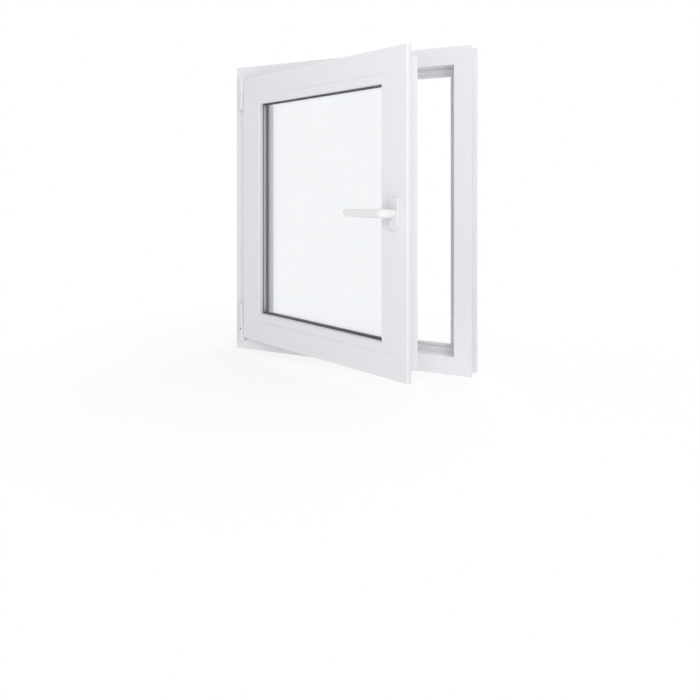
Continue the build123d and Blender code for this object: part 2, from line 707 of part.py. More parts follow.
def band_section():
    """Sash band in plan: barrel, joggle round the lip, and the leaf on the sash rebate."""
    leaf_face = AXIS_SIDE + LIP_WIDTH
    lip_back = OVERLAP_GAP - AXIS_OUT
    arm_low = -BARREL_RADIUS
    turn = BARREL_RADIUS + FREE
    face = Circle(BARREL_RADIUS)
    face += panel((0, arm_low), (turn + BAND_THICKNESS, arm_low + BAND_THICKNESS))
    face += panel((turn, lip_back - BAND_THICKNESS), (turn + BAND_THICKNESS, arm_low + BAND_THICKNESS))
    face += panel((turn, lip_back - BAND_THICKNESS), (leaf_face, lip_back))
    face += panel((leaf_face - BAND_THICKNESS, -AXIS_OUT - BAND_LEAF), (leaf_face, lip_back))
    return face - Circle(PIN_RADIUS + BUSH_WALL + FIT)


def band(low, high):
    """A sash band with its countersunk holes."""
    part = plan(band_section(), low, high)
    for place in band_screw_heights(low, high):
        part -= band_screw_at(place, FIT)
    return part


def band_screw_heights(low, high):
    return low + BAND_SCREW_END, high - BAND_SCREW_END


def band_screw_at(height, play):
    head = (AXIS_X + AXIS_SIDE + LIP_WIDTH - BAND_THICKNESS, Y_FACE + BAND_SCREW_DEPTH, height)
    return along(head, (-1, 0, 0), bore(SCREW_RADIUS, SCREW_HEAD, SCREW_LENGTH, play))


def sleeve(low, high, closed_end):
    """White sleeve over a band's barrel, slotted where the arm leaves it."""
    slot = panel((0, -SLEEVE_RADIUS), (SLEEVE_RADIUS, BAND_THICKNESS - BARREL_RADIUS + FREE))
    cavity = plan(Circle(BARREL_RADIUS + FIT) + slot, low, high)
    if closed_end == "high":
        return plan(Circle(SLEEVE_RADIUS), low, high + COVER_WALL) - cavity
    return plan(Circle(SLEEVE_RADIUS), low - COVER_WALL, high) - cavity


# ---------------------------------------------------------------- lock
def involute_angle(radius, base):
    """Angle that the involute of a base circle has turned through at a radius."""
    ratio = min(base / radius, 1.0)
    return tan(acos(ratio)) - acos(ratio)


def pinion_face():
    """Toothed sector in the XY plane, a tooth pointing along +X at rest."""
    pressure = radians(PRESSURE_ANGLE)
    base = PITCH_RADIUS * cos(pressure)
    tip = PITCH_RADIUS + GEAR_MODULE
    root = PITCH_RADIUS - GEAR_MODULE * (1 + TOOTH_ROOT_GAP)
    half = pi / (2 * GEAR_TEETH) - BACKLASH / (2 * PITCH_RADIUS)
    half_base = half + involute_angle(PITCH_RADIUS, base)
    flank = [(root, half_base)]
    for step in range(FLANK_STEPS + 1):
        radius = base + (tip - base) * step / FLANK_STEPS
        flank.append((radius, half_base - involute_angle(radius, base)))
    pitch = 2 * pi / GEAR_TEETH
    sweep = radians(HANDLE_TRAVEL)
    spare = 1
    first = -int(sweep / pitch + spare) - spare
    points = []
    for tooth in range(first, spare + 1):
        middle = tooth * pitch
        points += [(r * cos(middle - a), r * sin(middle - a)) for r, a in flank]
        points += [(r * cos(middle + a), r * sin(middle + a)) for r, a in reversed(flank)]
    points.append((0, 0))
    return outline(*points)


def pinion():
    """Toothed sector and hub on the spindle, teeth towards the rack."""
    width = ROD_WIDTH
    gear = extrude(pinion_face(), amount=width / 2, both=True)
    gear += Cylinder(HUB_RADIUS, gearbox_depth() - 2 * FIT)
    gear -= Box(SPINDLE + FIT, SPINDLE + FIT, gearbox_depth())
    return along_spindle(gear, Y_GROOVE)


def along_spindle(part, y):
    """Place a part drawn about +Z on the spindle, with +Z pointing to the room."""
    place = Plane(origin=(X_SPINDLE, y, MIDDLE), x_dir=(1, 0, 0), z_dir=(0, -1, 0))
    return place.location * part


def gearbox_depth():
    return GROOVE_WIDTH - 2 * FIT


def drive_rod():
    """Flat rod behind the faceplate, with the rack and slots for the faceplate's screws."""
    low, high = rod_ends()
    face = X_REBATE - (ROD_FACE - LIP_WIDTH)
    back = face - ROD_THICKNESS
    part = block((back, Y_GROOVE - ROD_WIDTH / 2, low), (face, Y_GROOVE + ROD_WIDTH / 2, high))
    part += rack()
    slot = SCREW_RADIUS + FREE
    for height in rod_screw_heights():
        part -= block((back - FREE, Y_GROOVE - slot, height - ROD_TRAVEL - slot),
                      (face + FREE, Y_GROOVE + slot, height + slot))
    for height in cam_heights():
        hole = Pos((face + back) / 2, Y_GROOVE, height) * Rot(0, 90, 0)
        part -= hole * Cylinder(CAM_RIVET + FIT, 2 * ROD_THICKNESS)
    return part


def rod_ends():
    heights = cam_heights()
    return min(heights) - ROD_END, max(heights) + ROD_END


def cam_heights():
    """Heights of the cams while the lever stands level."""
    return [middle + offset - ROD_TRAVEL for middle, _, offset in KEEPERS]


def rack():
    """Rack teeth: straight flanks, in mesh with the pinion while the lever stands level."""
    pressure = radians(PRESSURE_ANGLE)
    pitch = pi * GEAR_MODULE
    line = X_SPINDLE + PITCH_RADIUS
    tip = line - GEAR_MODULE
    root = X_REBATE - (ROD_BACK - LIP_WIDTH)
    half = pitch / 4 - BACKLASH / 2
    half_tip = half - (line - tip) * tan(pressure)
    half_root = half + (root - line) * tan(pressure)
    count = int(ROD_TRAVEL / pitch) + 1
    teeth = None
    for number in range(-count - RACK_SPARE, RACK_SPARE):
        middle = MIDDLE + (number + 0.5) * pitch
        face = make_face(Polyline((root, 0, middle - half_root), (tip, 0, middle - half_tip),
                                  (tip, 0, middle + half_tip), (root, 0, middle + half_root),
                                  close=True))
        tooth = Pos(0, Y_GROOVE, 0) * extrude(face, amount=ROD_WIDTH / 2, both=True)
        teeth = tooth if teeth is None else teeth + tooth
    return teeth


def locking_cam(height):
    """Round cam that reaches through the faceplate into the keeper."""
    face = X_REBATE - (ROD_FACE - LIP_WIDTH)
    length = CAM_TIP - face
    body = rod_shape(CAM_RADIUS, length)
    body = chamfer(body.edges().sort_by(Axis.Z)[-1], CAM_CHAMFER)
    body += Pos(0, 0, -ROD_THICKNESS / 2) * Cylinder(CAM_RIVET, ROD_THICKNESS)
    return along((face, Y_GROOVE, height), (1, 0, 0), body)


def faceplate_ends():
    low = SASH_INSET + LIP_WIDTH + FACEPLATE_INSET
    return low, WINDOW_HEIGHT - low


def faceplate_screw_heights():
    low, high = faceplate_ends()
    return (low + FACEPLATE_SCREW_END, *rod_screw_heights(), high - FACEPLATE_SCREW_END)


def rod_screw_heights():
    """Heights of the faceplate screws that pass through the rod."""
    return MIDDLE - FACEPLATE_SCREW_MIDDLE, MIDDLE + FACEPLATE_SCREW_MIDDLE


def faceplate_screw_at(height, play):
    head = (X_REBATE, Y_GROOVE, height)
    return along(head, (1, 0, 0), bore(SCREW_RADIUS, SCREW_HEAD, SCREW_LENGTH, play))


def faceplate():
    """Long plate that closes the groove, with a slot for each cam."""
    low, high = faceplate_ends()
    part = block((X_REBATE - FACEPLATE_THICKNESS, Y_GROOVE - FACEPLATE_WIDTH / 2, low),
                 (X_REBATE, Y_GROOVE + FACEPLATE_WIDTH / 2, high))
    radius = CAM_RADIUS + FREE
    for height in cam_heights():
        slot = SlotCenterToCenter(ROD_TRAVEL, 2 * radius)
        tool = Plane(origin=(X_REBATE, Y_GROOVE, height + ROD_TRAVEL / 2),
                     x_dir=(0, 0, 1), z_dir=(1, 0, 0)) * slot
        part -= extrude(tool, amount=2 * FACEPLATE_THICKNESS, both=True)
    for height in faceplate_screw_heights():
        part -= faceplate_screw_at(height, FIT)
    return part


def gearbox_blank(front, back):
    """A slice of the gearbox between two depths from the middle of the groove."""
    high_x = X_REBATE - (FACEPLATE_BED - LIP_WIDTH)
    low_x = X_SPINDLE - GEARBOX_BEHIND
    return block((low_x, Y_GROOVE + front, MIDDLE - GEARBOX_LENGTH / 2),
                 (high_x, Y_GROOVE + back, MIDDLE + GEARBOX_LENGTH / 2))


def gearbox_case():
    """Tray that holds the pinion and guides the rack; its open side takes the cover."""
    half = gearbox_depth() / 2
    part = gearbox_blank(-half, half - GEARBOX_WALL)
    low_x = X_SPINDLE - GEARBOX_BEHIND + GEARBOX_WALL
    half_length = GEARBOX_LENGTH / 2 - GEARBOX_WALL
    part -= block((low_x, Y_GROOVE - half + GEARBOX_WALL, MIDDLE - half_length),
                  (X_REBATE, Y_GROOVE + half, MIDDLE + half_length))
    rod_back = X_REBATE - (ROD_BACK - LIP_WIDTH) - FREE
    rod_half = ROD_WIDTH / 2 + FREE
    part -= block((rod_back, Y_GROOVE - rod_half, MIDDLE - GEARBOX_LENGTH),
                  (X_REBATE, Y_GROOVE + rod_half, MIDDLE + GEARBOX_LENGTH))
    return part - gearbox_bores()


def gearbox_cover():
    half = gearbox_depth() / 2
    return gearbox_blank(half - GEARBOX_WALL, half) - gearbox_bores()


def gearbox_bores():
    """Bores for the pinion's hub and for the two handle screws."""
    long = 2 * GROOVE_WIDTH
    tools = Cylinder(HUB_RADIUS + RUN, long)
    for place in (-1, 1):
        offset = Pos(0, place * HANDLE_SCREW_SPACING / 2, 0)
        tools += offset * Cylinder(HANDLE_SCREW_RADIUS + RUN, long)
    return along_spindle(tools, Y_GROOVE)


def keeper(middle, length, offset):
    """Keeper plate with the claw that the cam goes behind when the lever is down."""
    claw_face = Y_GROOVE - CAM_RADIUS - FREE
    claw_front = claw_face - CLAW_THICKNESS
    top = X_FLOOR - KEEPER_PLATE
    part = block((top, claw_front, middle - length / 2),
                 (X_FLOOR, claw_front + KEEPER_WIDTH, middle + length / 2))
    low = middle + offset - CLAW_BEHIND
    claw = block((X_FLOOR - CLAW_HEIGHT, claw_front, low), (top, claw_face, low + CLAW_LENGTH))
    lead = claw.edges().filter_by(Axis.X).sort_by(Axis.Z)[:2].sort_by(Axis.Y)[-1]
    part += chamfer(lead, CLAW_LEAD)
    for height in keeper_screw_heights(middle, length):
        part -= keeper_screw_at(height, FIT)
    return part


def keeper_screw_heights(middle, length):
    reach = length / 2 - KEEPER_SCREW_END
    return middle - reach, middle + reach


def keeper_screw_at(height, play):
    claw_front = Y_GROOVE - CAM_RADIUS - FREE - CLAW_THICKNESS
    head = (X_FLOOR - KEEPER_PLATE, claw_front + KEEPER_SCREW_LINE, height)
    return along(head, (-1, 0, 0), bore(SCREW_RADIUS, SCREW_HEAD, SCREW_LENGTH, play))


# ---------------------------------------------------------------- handle
def rosette_base():
    """Flat base under the rosette: bearing for the handle's collar, and the screw holes."""
    inner = ROSETTE_WALL + FIT
    face = RectangleRounded(ROSETTE_WIDTH - 2 * inner, ROSETTE_LENGTH - 2 * inner,
                            ROSETTE_CORNER - inner)
    part = extrude(face, amount=ROSETTE_BASE)
    part -= Cylinder(COLLAR_RADIUS + RUN, 2 * ROSETTE_BASE + FIT)
    part = along_spindle(part, Y_SASH)
    for place in (-1, 1):
        part -= handle_screw_at(place, FIT)
    return part


def rosette_cover():
    """Moulded cover over the base, with a rounded edge and a hole for the collar."""
    face = RectangleRounded(ROSETTE_WIDTH, ROSETTE_LENGTH, ROSETTE_CORNER)
    part = extrude(face, amount=ROSETTE_HEIGHT)
    part = fillet(part.faces().sort_by(Axis.Z)[-1].edges(), ROSETTE_EDGE)
    hollow = RectangleRounded(ROSETTE_WIDTH - 2 * ROSETTE_WALL, ROSETTE_LENGTH - 2 * ROSETTE_WALL,
                              ROSETTE_CORNER - ROSETTE_WALL)
    part -= extrude(hollow, amount=ROSETTE_HEIGHT - 2 * ROSETTE_WALL)
    part -= Cylinder(COLLAR_RADIUS + FREE, 3 * ROSETTE_HEIGHT)
    return along_spindle(part, Y_SASH)


def handle_screw_length():
    """From the rosette base through the stile to the far side of the gearbox."""
    return ROSETTE_BASE + GROOVE_MIDDLE + gearbox_depth() / 2


def handle_screw_at(place, play):
    head = (X_SPINDLE, Y_SASH - ROSETTE_BASE, MIDDLE + place * HANDLE_SCREW_SPACING / 2)
    screw = bore(HANDLE_SCREW_RADIUS, HANDLE_SCREW_HEAD, handle_screw_length(), play)
    return along(head, (0, -1, 0), screw)


def lever():
    """Handle: collar and neck out of the rosette, an elbow, and a tapering oval lever."""
    neck_end = LEVER_OUT - LEVER_BEND
    part = Pos(0, 0, FREE) * rod_shape(COLLAR_RADIUS, ROSETTE_HEIGHT + ROSETTE_WALL)
    part += Pos(0, 0, FREE) * rod_shape(NECK_RADIUS, neck_end - FREE)
    bend_axis = Axis((-LEVER_BEND, 0, neck_end), (0, -1, 0))
    part += revolve(Plane(origin=(0, 0, neck_end)) * Circle(NECK_RADIUS), bend_axis, 90)
    stations = [
        (LEVER_BEND, 2 * NECK_RADIUS, 2 * NECK_RADIUS),
        (LEVER_WIDEST, LEVER_HEIGHT, LEVER_THICKNESS),
        (LEVER_LENGTH - LEVER_TIP_LENGTH, LEVER_TIP_HEIGHT, LEVER_TIP_THICKNESS),
    ]
    sections = []
    for reach, height, thickness in stations:
        level = Plane(origin=(-reach, 0, LEVER_OUT), x_dir=(0, 1, 0), z_dir=(-1, 0, 0))
        sections.append(level * Ellipse(height / 2, thickness / 2))
    part += loft(sections)
    size = (LEVER_TIP_LENGTH, LEVER_TIP_HEIGHT / 2, LEVER_TIP_THICKNESS / 2)
    dome = split(scale(Rot(0, 90, 0) * Sphere(1), by=size), bisect_by=Plane.YZ, keep=Keep.BOTTOM)
    part += Pos(LEVER_TIP_LENGTH - LEVER_LENGTH, 0, LEVER_OUT) * dome
    part -= Pos(0, 0, SPINDLE_IN_NECK / 2) * Box(SPINDLE + FIT, SPINDLE + FIT, SPINDLE_IN_NECK)
    return along_spindle(part, Y_SASH)


def spindle():
    """Square spindle from the neck to the far side of the pinion."""
    back = GROOVE_MIDDLE + gearbox_depth() / 2 - FIT
    length = back + SPINDLE_IN_NECK - FIT
    bar = Pos(0, 0, (SPINDLE_IN_NECK - FIT) - length / 2) * Box(SPINDLE, SPINDLE, length)
    return along_spindle(bar, Y_SASH)


# ---------------------------------------------------------------- drainage
def drain_cap(x):
    """Hooded cap over a drainage slot, open at the bottom."""
    height, depth = DRAIN_CAP_HEIGHT, DRAIN_CAP_DEPTH
    y = Y_FACE + FRAME_DEPTH
    low = DRAIN_CAP_PLACE - height / 2
    hood = block((x - DRAIN_CAP_LENGTH / 2, y, low), (x + DRAIN_CAP_LENGTH / 2, y + depth, low + height))
    ridge = hood.edges().filter_by(Axis.X).sort_by(Axis.Z)[-2:].sort_by(Axis.Y)[-1]
    hood = chamfer(ridge, DRAIN_CAP_SLOPE)
    half = DRAIN_CAP_LENGTH / 2 - DRAIN_CAP_WALL
    return hood - block((x - half, y, low), (x + half, y + depth - DRAIN_CAP_WALL, low + DRAIN_CAP_MOUTH))


# ---------------------------------------------------------------- assembly
def frame_nodes():
    """Everything that stays with the frame."""
    bars = frame_bars(frame_section())
    steel = frame_steel()
    bracket_heights = bracket_screw_heights()
    keeper_heights = [h for middle, length, _ in KEEPERS for h in keeper_screw_heights(middle, length)]
    bracket_bores = [bracket_screw_at(h, FIT) for pair in bracket_heights for h in pair]
    keeper_bores = [keeper_screw_at(h, FIT) for h in keeper_heights]
    fixings = fixing_holes()
    for tool in bracket_bores + fixings[:2]:
        bars["hinge"] -= tool
    for tool in keeper_bores + fixings[2:]:
        bars["lock"] -= tool
    for tool in drain_slots():
        bars["bottom"] -= tool
    steel = [cut_all(bar, bracket_bores + keeper_bores + fixings) for bar in steel]
    lower_span = (LOWER_BRACKET_FOOT, LOWER_BRACKET_TOP)
    upper_span = (UPPER_BRACKET_FOOT, UPPER_BRACKET_FOOT + BRACKET_LENGTH)
    lower_band, upper_band = band_spans()
    lower_boss = LOWER_BRACKET_TOP - BOSS_LENGTH
    upper_boss = UPPER_BRACKET_FOOT + BOSS_LENGTH
    lower = bracket(lower_span[0], lower_boss, lower_span[1], bracket_heights[0])
    upper = bracket(upper_span[0], upper_span[0], upper_boss, bracket_heights[1])
    return {
        "frame_head": bars["top"],
        "frame_sill": bars["bottom"],
        "frame_jamb_hinge": bars["hinge"],
        "frame_jamb_lock": bars["lock"],
        "frame_reinforcement": steel,
        "frame_stop_gasket": list(frame_bars(stop_gasket_section()).values()),
        "lock_keepers": [keeper(*place) for place in KEEPERS],
        "keeper_screws": [keeper_screw_at(h, 0) for h in keeper_heights],
        "lower_hinge_bracket": lower - adjuster_tool(COVER_OUT + FREE),
        "lower_hinge_pin": plan(Circle(PIN_RADIUS), lower_boss, lower_band[1] - 2 * COVER_WALL),
        "lower_hinge_cover": cover(*lower_span, "low") - adjuster_tool(COVER_OUT),
        "upper_hinge_bracket": upper,
        "upper_hinge_pin": plan(Circle(PIN_RADIUS), upper_band[0] + 2 * COVER_WALL, upper_boss),
        "upper_hinge_cover": cover(*upper_span, "high"),
        "hinge_bracket_screws": [
            bracket_screw_at(h, 0) for pair in bracket_heights for h in pair],
        "drain_caps": [drain_cap(side * DRAIN_OFFSET) for side in (-1, 1)],
    }


def lock_pocket():
    """What is routed out of the lock stile for the gearbox, the spindle and the screws."""
    low_x = X_SPINDLE - GEARBOX_BEHIND - FREE
    half = GEARBOX_LENGTH / 2 + FREE
    tools = [block((low_x, Y_GROOVE - GROOVE_WIDTH / 2, MIDDLE - half),
                   (X_REBATE - (FACEPLATE_BED - LIP_WIDTH), Y_GROOVE + GROOVE_WIDTH / 2, MIDDLE + half))]
    front = along_spindle(Cylinder(HUB_RADIUS, GROOVE_MIDDLE), Y_SASH + GROOVE_MIDDLE / 2)
    tools.append(front)
    tools += [handle_screw_at(place, FIT) for place in (-1, 1)]
    tools += [faceplate_screw_at(h, FIT) for h in faceplate_screw_heights()]
    return tools


def sash_nodes():
    """Everything that swings with the sash, drawn with the sash closed."""
    bars = sash_bars(sash_section())
    beads = sash_bars(bead_section())
    lower_band, upper_band = band_spans()
    band_heights = (*band_screw_heights(*lower_band), *band_screw_heights(*upper_band))
    band_bores = [band_screw_at(h, FIT) for h in band_heights]
    pocket = lock_pocket()
    bars["hinge"] = cut_all(bars["hinge"], band_bores)
    bars["lock"] = cut_all(bars["lock"], pocket)
    steel = [cut_all(bar, band_bores) for bar in sash_steel()]
    bush = Circle(PIN_RADIUS + BUSH_WALL) - Circle(PIN_RADIUS + RUN)
    sleeves = (sleeve(*lower_band, "high"), sleeve(*upper_band, "low"))
    return {
        "sash_top_rail": bars["top"],
        "sash_bottom_rail": bars["bottom"],
        "sash_stile_hinge": bars["hinge"],
        "sash_stile_lock": bars["lock"],
        "sash_reinforcement": steel,
        "sash_overlap_gasket": list(overlap_gasket().values()),
        "glazing_bead_top": beads["top"],
        "glazing_bead_bottom": beads["bottom"],
        "glazing_bead_hinge": beads["hinge"],
        "glazing_bead_lock": beads["lock"],
        "bead_gasket": list(sash_bars(bead_gasket_section()).values()),
        "outer_glazing_gasket": list(sash_bars(outer_gasket_section()).values()),
        "inner_pane": pane(INNER_PANE_FACE),
        "outer_pane": pane(OUTER_PANE_FACE),
        "spacer_bar": spacer_bar(),
        "edge_seal": edge_seal(),
        "glazing_blocks": glazing_blocks(),
        "lower_hinge_band": band(*lower_band),
        "upper_hinge_band": band(*upper_band),
        "hinge_bushes": [plan(bush, *lower_band), plan(bush, *upper_band)],
        "lower_band_sleeve": sleeves[0],
        "upper_band_sleeve": sleeves[1],
        "hinge_band_screws": [band_screw_at(h, 0) for h in band_heights],
        "gearbox_case": gearbox_case(),
        "gearbox_cover": gearbox_cover(),
        "lock_faceplate": faceplate(),
        "faceplate_screws": [faceplate_screw_at(h, 0) for h in faceplate_screw_heights()],
        "rosette_base": rosette_base(),
        "rosette_cover": rosette_cover(),
        "handle_screws": [handle_screw_at(place, 0) for place in (-1, 1)],
        "handle_lever": lever(),
        "handle_spindle": spindle(),
        "gear_pinion": pinion(),
        "drive_rod": drive_rod(),
        "locking_cams": [locking_cam(h) for h in cam_heights()],
    }


def separate_solids(pieces):
    """All solids of a piece or of a list of pieces."""
    pieces = pieces if isinstance(pieces, list) else [pieces]
    return [solid for piece in pieces for solid in piece.solids()]


def write_node(name, solids):
    export_step(Compound(children=solids), f"parts/{name}.step")
    print(name, len(solids))


def main():
    os.makedirs("parts", exist_ok=True)
    for name, pieces in frame_nodes().items():
        write_node(name, separate_solids(pieces))
    for name, pieces in sash_nodes().items():
        write_node(name, [swing(solid) for solid in separate_solids(pieces)])


main()
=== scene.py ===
# %% [markdown]
# # A casement window, dressed for the camera
# The window itself is already modelled piece by piece: frame, sash, glass, hinges, lock and handle.
# This lesson gives each piece its real surface, adds the small parts that only the eye needs,
# and sets up a plain studio.
# Every measure is in metres. X runs towards the lock side, Y runs outdoors, Z is up.

# %% Load the window
import json
import math

import bmesh
import bpy
from mathutils import Matrix, Vector


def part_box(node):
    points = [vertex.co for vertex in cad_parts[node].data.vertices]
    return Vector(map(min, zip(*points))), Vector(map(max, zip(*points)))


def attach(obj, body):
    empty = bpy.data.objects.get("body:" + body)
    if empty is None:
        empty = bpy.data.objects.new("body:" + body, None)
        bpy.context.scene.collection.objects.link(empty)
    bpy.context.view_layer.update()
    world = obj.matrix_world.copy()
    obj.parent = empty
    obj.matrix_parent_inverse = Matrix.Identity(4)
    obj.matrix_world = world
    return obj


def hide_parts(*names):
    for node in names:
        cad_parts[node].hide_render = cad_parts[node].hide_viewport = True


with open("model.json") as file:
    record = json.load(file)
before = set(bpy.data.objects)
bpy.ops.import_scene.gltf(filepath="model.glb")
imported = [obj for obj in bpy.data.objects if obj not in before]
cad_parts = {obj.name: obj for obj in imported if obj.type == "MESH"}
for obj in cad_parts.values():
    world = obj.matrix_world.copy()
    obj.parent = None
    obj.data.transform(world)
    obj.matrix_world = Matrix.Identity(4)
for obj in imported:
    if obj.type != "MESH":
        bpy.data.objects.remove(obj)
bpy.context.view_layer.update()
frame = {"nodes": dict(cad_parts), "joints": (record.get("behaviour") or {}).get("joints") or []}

# %% [markdown]
# ## Where things are
# The sash stands a little open, so its pieces are turned about the hinge pins.
# A pattern that should follow the sash, such as the line where two bars are welded, is easier to
# draw on the closed window. So the opening angle and the pin's place are kept here, and the
# materials turn their coordinates back before they draw. Both are read from the model, and so
# are the outer sizes of the frame.

# %% Sizes of the frame and place of the sash
sill_low, sill_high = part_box("frame_sill")
jamb_low, jamb_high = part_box("frame_jamb_lock")
FRAME_WIDTH = sill_high.x - sill_low.x
FRAME_HEIGHT = jamb_high.z - jamb_low.z
MIDDLE = FRAME_HEIGHT / 2
sash_swing = next(joint for joint in frame["joints"] if joint["name"] == "sash_swing")
OPEN_ANGLE = math.radians(-sash_swing["range_deg"][0])
PIN = Vector((sash_swing["pos_m"][0], sash_swing["pos_m"][1], 0.0))
SWUNG = Matrix.Rotation(-OPEN_ANGLE, 3, "Z")
print("frame", round(FRAME_WIDTH, 4), "by", round(FRAME_HEIGHT, 4), "sash open by",
      round(math.degrees(OPEN_ANGLE), 2), "degrees about", [round(v, 4) for v in PIN])

# %% [markdown]
# ## Shader helpers
# A material is a small graph of nodes. A few helpers keep the graph readable: one adds a node,
# one does a step of arithmetic, one stretches a value and one blends two colours by a mask.
# An effect that several finishes share is a node group. It is built once, with named inputs, and
# each material sets its own values on it.

# %% Node helpers
def feed(tree, socket, value):
    """Link an output to a node's input, or set the input to a plain value."""
    if isinstance(value, bpy.types.NodeSocket):
        tree.links.new(value, socket)
    else:
        socket.default_value = value


def feed_all(tree, node, values):
    """Feed a node's inputs by name; underscores in the names stand for spaces."""
    for name, value in values.items():
        feed(tree, node.inputs[name.replace("_", " ")], value)
    return node


def add(tree, kind, **values):
    """Add a node and feed its inputs."""
    return feed_all(tree, tree.nodes.new(kind), values)


def math_node(tree, operation, first, second=0.0, clamp=False):
    """One step of arithmetic."""
    node = tree.nodes.new("ShaderNodeMath")
    node.operation = operation
    node.use_clamp = clamp
    feed(tree, node.inputs[0], first)
    feed(tree, node.inputs[1], second)
    return node.outputs[0]


def spread(tree, value, low, high):
    """Stretch a value that runs from 0 to 1, so that it runs from low to high."""
    return add(tree, "ShaderNodeMapRange", Value=value, To_Min=low, To_Max=high).outputs[0]


def blend_colour(tree, mask, first, second):
    """The first colour where the mask is 0, the second where it is 1."""
    node = tree.nodes.new("ShaderNodeMix")
    node.data_type = "RGBA"
    for index, value in ((0, mask), (6, first), (7, second)):
        feed(tree, node.inputs[index], value)
    return node.outputs[2]


def new_group(name, inputs, outputs):
    """A shader group with float or vector inputs and float outputs."""
    group = bpy.data.node_groups.new(name, "ShaderNodeTree")
    for label, kind, value in inputs:
        socket = group.interface.new_socket(label, in_out="INPUT", socket_type="NodeSocket" + kind)
        if kind == "Float":
            socket.default_value = value
    for label in outputs:
        group.interface.new_socket(label, in_out="OUTPUT", socket_type="NodeSocketFloat")
    return group, group.nodes.new("NodeGroupInput"), group.nodes.new("NodeGroupOutput")


def use_group(tree, group, **values):
    """Place a group in a material, with values of its own."""
    node = tree.nodes.new("ShaderNodeGroup")
    node.node_tree = group
    return feed_all(tree, node, values)


print("node helpers ready")

# %% [markdown]
# ## Effect 1: the skin of a plastic profile
# Window bars are pushed out of a steel die as one endless strip. The die leaves very faint lines
# along the bar, and handling leaves soft cloudy changes of gloss. Stretched noise gives the
# lines: noise that changes fast across the bar and hardly at all along it. A second, broad noise
# gives the clouds.

# %% Profile skin group
skin, skin_in, skin_out = new_group(
    "profile_skin",
    [("Vector", "Vector", None), ("Lines", "Float", 900.0), ("Clouds", "Float", 9.0)],
    ["Height", "Gloss"])
line_noise = add(skin, "ShaderNodeTexNoise", Vector=skin_in.outputs["Vector"],
                 Scale=skin_in.outputs["Lines"], Detail=2.0, Roughness=0.6)
cloud_noise = add(skin, "ShaderNodeTexNoise", Vector=skin_in.outputs["Vector"],
                  Scale=skin_in.outputs["Clouds"], Detail=3.0, Roughness=0.55)
skin.links.new(line_noise.outputs[0], skin_out.inputs["Height"])
skin.links.new(cloud_noise.outputs[0], skin_out.inputs["Gloss"])
print("group", skin.name, "made")

# %% [markdown]
# ## Effect 2: the cleaned weld at a corner
# The bars are cut at 45 degrees and melted together. The bead that squeezes out is shaved off,
# which leaves a narrow shallow groove on the diagonal of each corner. On the diagonal the
# distance to the upright edge equals the distance to the level edge, so the difference of the
# two distances is a measure of how far a point is from the weld. The sash is inset by the same
# amount all round, so its welds lie on the same diagonals as the frame's.

# %% Corner weld group
weld, weld_in, weld_out = new_group(
    "corner_weld",
    [("Vector", "Vector", None), ("Half Width", "Float", FRAME_WIDTH / 2),
     ("Half Height", "Float", MIDDLE), ("Middle", "Float", MIDDLE), ("Groove", "Float", 0.0012)],
    ["Mask"])
across, _, up = add(weld, "ShaderNodeSeparateXYZ", Vector=weld_in.outputs["Vector"]).outputs
from_side = math_node(weld, "SUBTRACT", weld_in.outputs["Half Width"],
                      math_node(weld, "ABSOLUTE", across))
off_middle = math_node(weld, "SUBTRACT", up, weld_in.outputs["Middle"])
from_level = math_node(weld, "SUBTRACT", weld_in.outputs["Half Height"],
                       math_node(weld, "ABSOLUTE", off_middle))
off_weld = math_node(weld, "ABSOLUTE", math_node(weld, "SUBTRACT", from_side, from_level))
groove_share = math_node(weld, "DIVIDE", off_weld, weld_in.outputs["Groove"])
weld.links.new(math_node(weld, "SUBTRACT", 1.0, groove_share, clamp=True), weld_out.inputs["Mask"])
print("group", weld.name, "made")

# %% [markdown]
# ## Effect 3: fine grain
# Moulded caps, gaskets and painted castings all have a fine grain, only at different sizes.

# %% Grain group
grain, grain_in, grain_out = new_group(
    "fine_grain",
    [("Vector", "Vector", None), ("Size", "Float", 1500.0), ("Clouds", "Float", 30.0)],
    ["Height", "Clouds"])
grain_noise = add(grain, "ShaderNodeTexNoise", Vector=grain_in.outputs["Vector"],
                  Scale=grain_in.outputs["Size"], Detail=3.0, Roughness=0.6)
grain_cloud = add(grain, "ShaderNodeTexNoise", Vector=grain_in.outputs["Vector"],
                  Scale=grain_in.outputs["Clouds"], Detail=2.0, Roughness=0.5)
grain.links.new(grain_noise.outputs[0], grain_out.inputs["Height"])
grain.links.new(grain_cloud.outputs[0], grain_out.inputs["Clouds"])
print("group", grain.name, "made")

# %% [markdown]
# ## Where a pattern sits
# Object coordinates start at the window's origin, because every piece's object sits there.
# For the swung sash, a Mapping node turns them back to the closed window.

# %% Coordinates and relief
UNSTRETCHED = (1.0, 1.0, 1.0)


def coordinates(tree, swung=False, stretch=UNSTRETCHED):
    """Object coordinates, turned back to the closed sash where asked: plain, then stretched."""
    plain = tree.nodes.new("ShaderNodeTexCoord").outputs["Object"]
    if swung:
        back = Matrix.Rotation(OPEN_ANGLE, 3, "Z")
        plain = add(tree, "ShaderNodeMapping", Vector=plain, Location=PIN - back @ PIN,
                    Rotation=(0.0, 0.0, OPEN_ANGLE)).outputs[0]
    if stretch == UNSTRETCHED:
        return plain, plain
    return plain, add(tree, "ShaderNodeMapping", Vector=plain, Scale=stretch).outputs[0]


def new_material(name):
    """A material with its node tree and its shader."""
    material = bpy.data.materials.new(name)
    material.use_nodes = True
    tree = material.node_tree
    return material, tree, tree.nodes["Principled BSDF"]


def bump(tree, shader, height, strength, distance, before=None):
    """Relief from a height, on top of an earlier relief where there is one."""
    node = add(tree, "ShaderNodeBump", Height=height, Strength=strength, Distance=distance)
    if before is not None:
        tree.links.new(before, node.inputs["Normal"])
    tree.links.new(node.outputs[0], shader.inputs["Normal"])
    return node.outputs[0]


